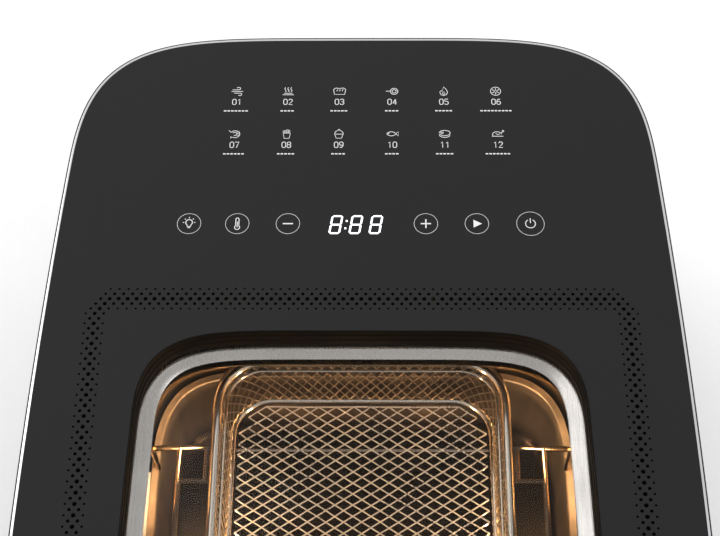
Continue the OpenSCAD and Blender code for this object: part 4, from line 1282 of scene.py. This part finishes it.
def programme_icons() -> list[list[Stroke]]:
    """Plain line drawings for the twelve programmes, about 6.4 mm across.

    Returns:
        Strokes of each drawing.
    """
    wind = [arc(0.6, 1.9, 1.0, 0.8, -90, 150), [(-2.6, 1.1), (0.6, 1.1)], [(-3.2, 0), (3.0, 0)],
            [(-1.6, -1.1), (1.4, -1.1)] + arc(1.4, -1.9, 0.9, 0.8, 90, -150)]
    steam = [[(-3, -2.2), (3, -2.2)], [(-2.2, -1.2), (2.2, -1.2)]] + [
        [(x + 0.35 * math.sin(i * 1.1), -0.3 + i * 0.5) for i in range(7)] for x in (-1.6, 0, 1.6)]
    loaf = [arc(-1.6, 0.8, 1.6, 1.4, 200, 60) + arc(1.6, 0.8, 1.6, 1.4, 120, -20)
            + [(2.7, -2), (-2.7, -2), (-3.1, 0.3)]] + [[(x, 1.4), (x - 0.5, 0.2)] for x in (-1, 0.4, 1.8)]
    pan = [arc(1.1, 0, 2.0, 2.0, 0, 360, 24), arc(1.1, 0, 1.1, 1.1, 0, 360, 18), [(-0.9, 0.1), (-3.3, 0.1)]]
    flame = [[(0, 3), (1.4, 1.2), (2.1, -0.6), (1.5, -2.2), (0, -2.9), (-1.5, -2.2), (-2.1, -0.6),
              (-1.2, 0.7), (-0.8, -0.3), (0, 3)],
             [(0.1, -0.3), (0.8, -1.5), (0, -2.3), (-0.8, -1.5), (0.1, -0.3)]]
    slices = [arc(0, 0, 2.7, 2.7, 0, 360, 28)] + [
        [(0.5 * math.cos(a), 0.5 * math.sin(a)), (2.2 * math.cos(a), 2.2 * math.sin(a))]
        for a in (math.radians(60 * k + 30) for k in range(6))]
    prawn = [arc(0, -0.2, 2.5, 2.2, 150, -120, 20), arc(-0.2, 0, 1.2, 1.0, 150, -110, 14),
             [(-2.2, 0.9), (-3.2, 2.2)], [(-1.1, -2.1), (-2.3, -2.6), (-2.1, -1.6)]] + [
        [(1.0, 1.2 - 1.1 * k), (2.1, 1.6 - 1.2 * k)] for k in range(3)]
    chips = [[(-1.9, 0.4), (-1.3, -2.9), (1.3, -2.9), (1.9, 0.4), (-1.9, 0.4)]] + [
        [(x, 0.4), (x - 0.1, 2.6 - abs(x) * 0.4), (x + 0.7, 2.6 - abs(x) * 0.4), (x + 0.6, 0.4)]
        for x in (-1.8, -0.9, 0.0, 0.9)]
    cake = [[(-2.2, -0.2), (-1.4, -2.8), (1.4, -2.8), (2.2, -0.2)], [(-2.5, -0.2), (2.5, -0.2)],
            arc(0, -0.2, 2.3, 2.4, 0, 180), arc(0, 2.5, 0.4, 0.4, 0, 360, 10)]
    fish = [arc(-0.5, -1.6, 2.9, 2.9, 35, 145), arc(-0.5, 1.6, 2.9, 2.9, -35, -145),
            [(1.9, 0.1), (3.2, 1.4), (3.2, -1.4), (1.9, -0.1)], arc(-1.9, 0.3, 0.2, 0.2, 0, 360, 8)]
    steak = [arc(0, 0.5, 2.9, 1.7, 0, 360, 26), arc(-1.4, 0.7, 0.7, 0.5, 0, 360, 12),
             [(-2.9, 0.5), (-2.7, -0.9)] + arc(0, -0.9, 2.7, 1.4, 180, 360)]
    roast = [arc(-0.3, -0.6, 2.4, 1.9, 10, 175), [(-3, -1.6), (3, -1.6)], [(-2.7, -0.4), (-2.4, -1.6)],
             [(1.9, 0.2), (2.7, 1.3)], arc(2.9, 1.7, 0.45, 0.45, 0, 360, 10),
             [(-1, 0.2), (0.2, -0.6), (1.2, 0)]]
    return [wind, steam, loaf, pan, flame, slices, prawn, chips, cake, fish, steak, roast]


@dataclass
class Marks:
    """Printed programme grid, touch rings and lit display on the lid."""

    columns: tuple[float, ...] = (-67.2, -39.9, -12.4, 15.7, 43.3, 71.1)
    rows: tuple[tuple[float, float, float], ...] = ((36.4, 43.3, 49.2), (64.1, 71.1, 76.8))
    key_row: float = 119.7
    keys_x: tuple[float, ...] = (-88.0, -63.4, -37.6, 32.6, 58.5, 85.7)
    keys_r: tuple[float, ...] = (6.0, 6.0, 6.0, 6.0, 6.0, 7.0)
    sign: float = 2.6
    dash: float = 1.35
    dash_pitch: float = 1.9
    line: float = 0.34
    number_line: float = 0.42
    dash_line: float = 0.75
    ring_line: float = 0.2
    sign_line: float = 0.45
    bar_line: float = 0.7
    number_height: float = 3.5
    words: tuple[int, ...] = (7, 4, 5, 4, 5, 9, 6, 5, 4, 4, 5, 7)

    def place(self, strokes: list[Stroke], x: float, setback: float) -> list[Loop]:
        """Put strokes on the lid.

        Args:
            strokes: Lines in millimetres about their middle.
            x: Middle across the lid.
            setback: Middle's distance from the back edge.

        Returns:
            The strokes on the lid's face.
        """
        return [[(x + px, BACK_Y - setback + py, FACE_Z) for px, py in stroke] for stroke in strokes]

    def digits(self, text: str, height: float) -> list[Stroke]:
        """Strokes of a number about its middle.

        Args:
            text: The digits.
            height: Their height.

        Returns:
            The strokes.
        """
        scale, pitch, narrow = height / 6, 5.5, 0.84
        shift = (len(text) * pitch - (pitch - 4)) / 2
        return [[((px + i * pitch - shift) * scale * narrow, (py - 3) * scale) for px, py in stroke]
                for i, digit in enumerate(text) for stroke in DIGITS[digit]]

    def print_on(self, trees: Trees, name: str, lines: list[Loop], width: float) -> None:
        """Lay lines of ink on the lid.

        Args:
            trees: The Geometry Nodes trees.
            name: Name of the piece.
            lines: Paths of the lines.
            width: Width of the lines.
        """
        paths = [(run[:-1], True) if math.dist(run[0], run[-1]) < 1e-6 else (run, False) for run in lines]
        piece = wire_paths(name, paths)
        grown(piece, trees.strand, {"Strand Width": width * MM, "Strand Height": 0.05 * MM, "Wobble": 0.0,
                                    "Wobble Scale": 10.0, "Seed": 0.0, "Material": PRINT.material()})
        deliver(piece, "housing", "panel_plastic", (), PRINT)

    def build(self, trees: Trees) -> None:
        """Print the grid and the keys, and light the display.

        Args:
            trees: The Geometry Nodes trees.
        """
        icons: list[Loop] = []
        numbers: list[Loop] = []
        dashes: list[Loop] = []
        drawings = programme_icons()
        for k in range(12):
            x, (icon_d, number_d, word_d) = self.columns[k % 6], self.rows[k // 6]
            icons += self.place(drawings[k], x, icon_d)
            numbers += self.place(self.digits(f"{k + 1:02d}", self.number_height), x, number_d)
            half = self.words[k] * self.dash_pitch / 2
            starts = [j * self.dash_pitch - half for j in range(self.words[k])]
            dashes += self.place([[(start, 0), (start + self.dash, 0)] for start in starts], x, word_d)
        self.print_on(trees, "programme_icons", icons, self.line)
        self.print_on(trees, "programme_numbers", numbers, self.number_line)
        self.print_on(trees, "programme_dashes", dashes, self.dash_line)
        self.keys(trees)
        self.display()

    def keys(self, trees: Trees) -> None:
        """Rings and signs of the touch keys.

        Args:
            trees: The Geometry Nodes trees.
        """
        lamp_x, heat_x, less_x, more_x, play_x, power_x = self.keys_x
        lines: list[Loop] = []
        for x, radius in zip(self.keys_x, self.keys_r):
            lines += self.place([arc(0, 0, radius, radius, 0, 360, 48)], x, self.key_row)
        self.print_on(trees, "key_rings", lines, self.ring_line)
        bulb = [arc(0, 0.7, 1.7, 1.7, -50, 230, 22), [(1.1, -0.6), (0.8, -1.7), (-0.8, -1.7), (-1.1, -0.6)],
                [(-0.7, -2.4), (0.7, -2.4)]] + [
            [(2.5 * math.cos(a), 0.7 + 2.5 * math.sin(a)), (3.2 * math.cos(a), 0.7 + 3.2 * math.sin(a))]
            for a in (math.radians(d) for d in (0, 45, 90, 135, 180))]
        meter = [[(-0.8, -1.2), (-0.8, 2.6)] + arc(0, 2.6, 0.8, 0.8, 180, 0, 8) + [(0.8, -1.2)],
                 arc(0, -2.2, 1.3, 1.3, 125, 415, 20), [(0, 1.2), (0, -2.2)]]
        power = [arc(0, 0, 2.5, 2.5, 120, 420, 28), [(0, 0.4), (0, 3.2)]]
        signs = self.place(bulb, lamp_x, self.key_row) + self.place(meter, heat_x, self.key_row)
        signs += self.place(power, power_x, self.key_row)
        self.print_on(trees, "key_signs", signs, self.sign_line)
        level, reach = [(-self.sign, 0), (self.sign, 0)], self.sign
        bars = self.place([level], less_x, self.key_row)
        bars += self.place([level, [(0, -reach), (0, -0.35)], [(0, 0.35), (0, reach)]], more_x, self.key_row)
        self.print_on(trees, "key_bars", bars, self.bar_line)
        y = BACK_Y - self.key_row
        arrow = [(play_x + reach, y), (play_x - 1.7, y + 2.3), (play_x - 1.7, y - 2.3)]
        play = slab("play_sign", arrow, *INK)
        deliver(play, "housing", "panel_plastic", (), PRINT)

    def display(self) -> None:
        """Make leaning seven-segment figures and their colon."""
        height, width, thick, lean, gap = 10.2, 5.0, 0.95, 0.16, 0.12
        figures_x, colon_x, dot, spread = (-16.5, -6.3, 3.85), -8.0, 0.5, 2.2
        half, mid, row = thick / 2, height / 2, BACK_Y - self.key_row - 0.6

        def bar(x0: float, y0: float, x1: float, y1: float) -> Stroke:
            """Six-cornered segment between two points.

            Args:
                x0: Start, across the figure.
                y0: Start, up the figure.
                x1: End, across the figure.
                y1: End, up the figure.

            Returns:
                Its corners.
            """
            along = Vector((x1 - x0, y1 - y0)).normalized()
            side = Vector((-along.y, along.x)) * half
            a, b = Vector((x0, y0)) + along * gap, Vector((x1, y1)) - along * gap
            ring = [a, a + along * half - side, b - along * half - side, b, b - along * half + side,
                    a + along * half + side]
            return [(p.x + p.y * lean, p.y) for p in ring]

        figure = [bar(0, height, width, height), bar(0, mid, width, mid), bar(0, 0, width, 0),
                  bar(0, mid, 0, height), bar(width, mid, width, height), bar(0, 0, 0, mid),
                  bar(width, 0, width, mid)]
        outlines = [[(px + start, py - mid + row) for px, py in stroke] for start in figures_x
                    for stroke in figure]
        outlines += [[(colon_x + rise * lean + dx * dot, rise + row + dy * dot) for dx, dy in
                      ((-1, -1), (1, -1), (1, 1), (-1, 1))] for rise in (-spread, spread)]
        lit = joined("display_segments", [slab(f"segment_{i}", outline, *INK)
                                          for i, outline in enumerate(outlines)])
        deliver(lit, "housing", "display_lens", (), SEGMENT)


@dataclass
class Fasteners:
    """Screw heads on the rear cover."""

    across: float = 46.0
    heights: tuple[float, float] = (50.0, 162.0)
    face_y: float = 227.25
    facing: Point = (0.0, 1.0, 0.0)

    def build(self, trees: Trees) -> None:
        """Set the screw heads.

        Args:
            trees: The Geometry Nodes trees.
        """
        along = Vector(self.facing)
        side = along.orthogonal().normalized()
        up = along.cross(side)
        points: Loop = []
        # A tiny triangle at each place carries the direction its screw faces
        corners = [(side * a + up * b) * 0.001 for a, b in ((0, 0), (1, 0), (0, 1))]
        for middle in ((sx * self.across, self.face_y, z) for sx in (-1, 1) for z in self.heights):
            points += [tuple(Vector(middle) + corner) for corner in corners]
        heads = make_mesh("cover_screw_heads", points, [(i, i + 1, i + 2) for i in range(0, len(points), 3)])
        grown(heads, trees.screw, {"Head Radius": 2.9 * MM, "Head Height": 0.65 * MM,
                                   "Material": FINISHES["screw_steel"].material()})
        shade(heads)
        deliver(heads, "housing", "screw_steel", ("rear_cover_screws",))


# ---------------------------------------------------------------- frame pieces and studio


def dress_frame() -> None:
    """Give every CAD node the finish of its slot in the record."""
    slots = {part["node"]: part["material_slot"] for part in frame["record"]["subparts"]}
    for node, piece in frame["nodes"].items():
        dress(piece, FINISHES[slots[node]])
    LOG.info("dressed %d frame nodes", len(slots))


@dataclass
class Studio:
    """Camera, floor and soft lights."""

    eye: Point = (9.2, -299.9, 875.5)
    focal: float = 76.3
    pitch: float = 59.94
    yaw: float = -1.487
    roll: float = 1.257
    film: float = 36.0
    floor_half: float = 4000.0
    lamp_at: Point = (108.3, -92.0, 153.0)
    lamp_watts: float = 2.6
    glow_at: Point = (88.0, 4.0, 176.0)
    glow_watts: float = 0.3
    sky: float = 0.95

    def build(self) -> None:
        """Set up the camera, the floor and the lights."""
        self.camera()
        far = self.floor_half
        floor = make_mesh("floor", [(-far, -far, 0), (far, -far, 0), (far, far, 0), (-far, far, 0)],
                          [(0, 1, 2, 3)])
        dress(floor, FLOOR)
        self.soft_box("key", (-700, 500, 1500), (0, 0, 150), (900, 900), 5)
        self.soft_box("fill", (900, -300, 1200), (0, 0, 150), (900, 700), 3)
        self.soft_box("back", (0, 1500, 700), (0, 100, 150), (1400, 500), 3)
        for side in (-1, 1):
            self.lamp(side)
            self.glow(side)
        world = bpy.data.worlds.new("studio")
        world.use_nodes = True
        sky = world.node_tree.nodes["Background"]
        sky.inputs["Color"].default_value = (1, 1, 1, 1)
        sky.inputs["Strength"].default_value = self.sky
        bpy.context.scene.world = world
        bpy.context.scene.view_settings.view_transform = "Standard"

    def camera(self) -> None:
        """Set the camera at its viewing angle."""
        pitch, yaw, roll = (math.radians(v) for v in (self.pitch, self.yaw, self.roll))
        ahead = Vector((math.sin(yaw) * math.cos(pitch), math.cos(yaw) * math.cos(pitch), -math.sin(pitch)))
        right = Vector((math.cos(yaw), -math.sin(yaw), 0))
        down = ahead.cross(right)
        across = right * math.cos(roll) + down * math.sin(roll)
        below = down * math.cos(roll) - right * math.sin(roll)
        lens = bpy.data.cameras.new("camera")
        lens.lens, lens.sensor_width, lens.clip_start = self.focal, self.film, 20 * MM
        eye = bpy.data.objects.new("camera", lens)
        eye.matrix_world = Matrix.Translation(Vector(self.eye) * MM) @ Matrix(
            (across, -below, -ahead)).transposed().to_4x4()
        bpy.context.scene.collection.objects.link(eye)
        bpy.context.scene.camera = eye

    def soft_box(self, name: str, place: Point, target: Point, size: tuple[float, float],
                 power: float) -> None:
        """Hang a soft box.

        Args:
            name: Name of the light.
            place: Its middle, in millimetres.
            target: Where it points.
            size: Width and height.
            power: Watts.
        """
        light = self.light(name, size, power)
        self.hang(name, light, place, Vector(target) - Vector(place))

    def lamp(self, side: int) -> None:
        """Warm light that a cavity lamp throws across the basket.

        Args:
            side: -1 for left, 1 for right.
        """
        light = self.light("cavity_lamp", (26, 26), self.lamp_watts, (1.0, 0.6, 0.28), 95)
        light.shape = "DISK"
        aim = Vector((-side, 0.5, -0.35))
        x, y, z = self.lamp_at
        self.hang(f"cavity_lamp_{self.label(side)}", light, (side * x, y, z), aim)

    def glow(self, side: int) -> None:
        """Warm bounce that the brushed walls throw back near the basket's shoulders.

        Args:
            side: -1 for left, 1 for right.
        """
        light = self.light("wall_glow", (34, 8), self.glow_watts, (1.0, 0.66, 0.34), 110)
        aim = Vector((side * 24, 14, -30))
        x, y, z = self.glow_at
        lamp = self.hang(f"wall_glow_{self.label(side)}", light, (side * x, y, z), aim)
        lamp.visible_camera = False

    def label(self, side: int) -> str:
        """Word for a side."""
        return "left" if side < 0 else "right"

    def light(self, name: str, size: tuple[float, float], power: float, colour: Point = (1.0, 1.0, 1.0),
              spread: float = 180.0) -> bpy.types.Light:
        """Make a flat light.

        Args:
            name: Name of the light.
            size: Width and height in millimetres.
            power: Watts.
            colour: Linear red, green and blue.
            spread: Angle it shines over, in degrees.

        Returns:
            The light.
        """
        light = bpy.data.lights.new(name, "AREA")
        light.shape, light.size, light.size_y, light.energy = "RECTANGLE", size[0] * MM, size[1] * MM, power
        light.color, light.spread = colour, math.radians(spread)
        return light

    def hang(self, name: str, light: bpy.types.Light, place: Point, aim: Vector) -> Piece:
        """Hang a light.

        Args:
            name: Name of the lamp that holds it.
            light: The light.
            place: Its middle, in millimetres.
            aim: Direction it shines in.

        Returns:
            The lamp.
        """
        lamp = bpy.data.objects.new(name, light)
        lamp.location = Vector(place) * MM
        lamp.rotation_euler = aim.to_track_quat("-Z", "Y").to_euler()
        bpy.context.scene.collection.objects.link(lamp)
        return lamp


def main() -> None:
    """Build every assembly."""
    logging.basicConfig(level=logging.INFO, format="%(name)s: %(message)s")
    trees = Trees()
    dress_frame()
    Housing().build(trees)
    WindowStack().build()
    Cavity().build()
    Basket().build(trees)
    Drawer().build()
    Marks().build(trees)
    Fasteners().build(trees)
    Studio().build()


if __name__ == "__main__":
    main()
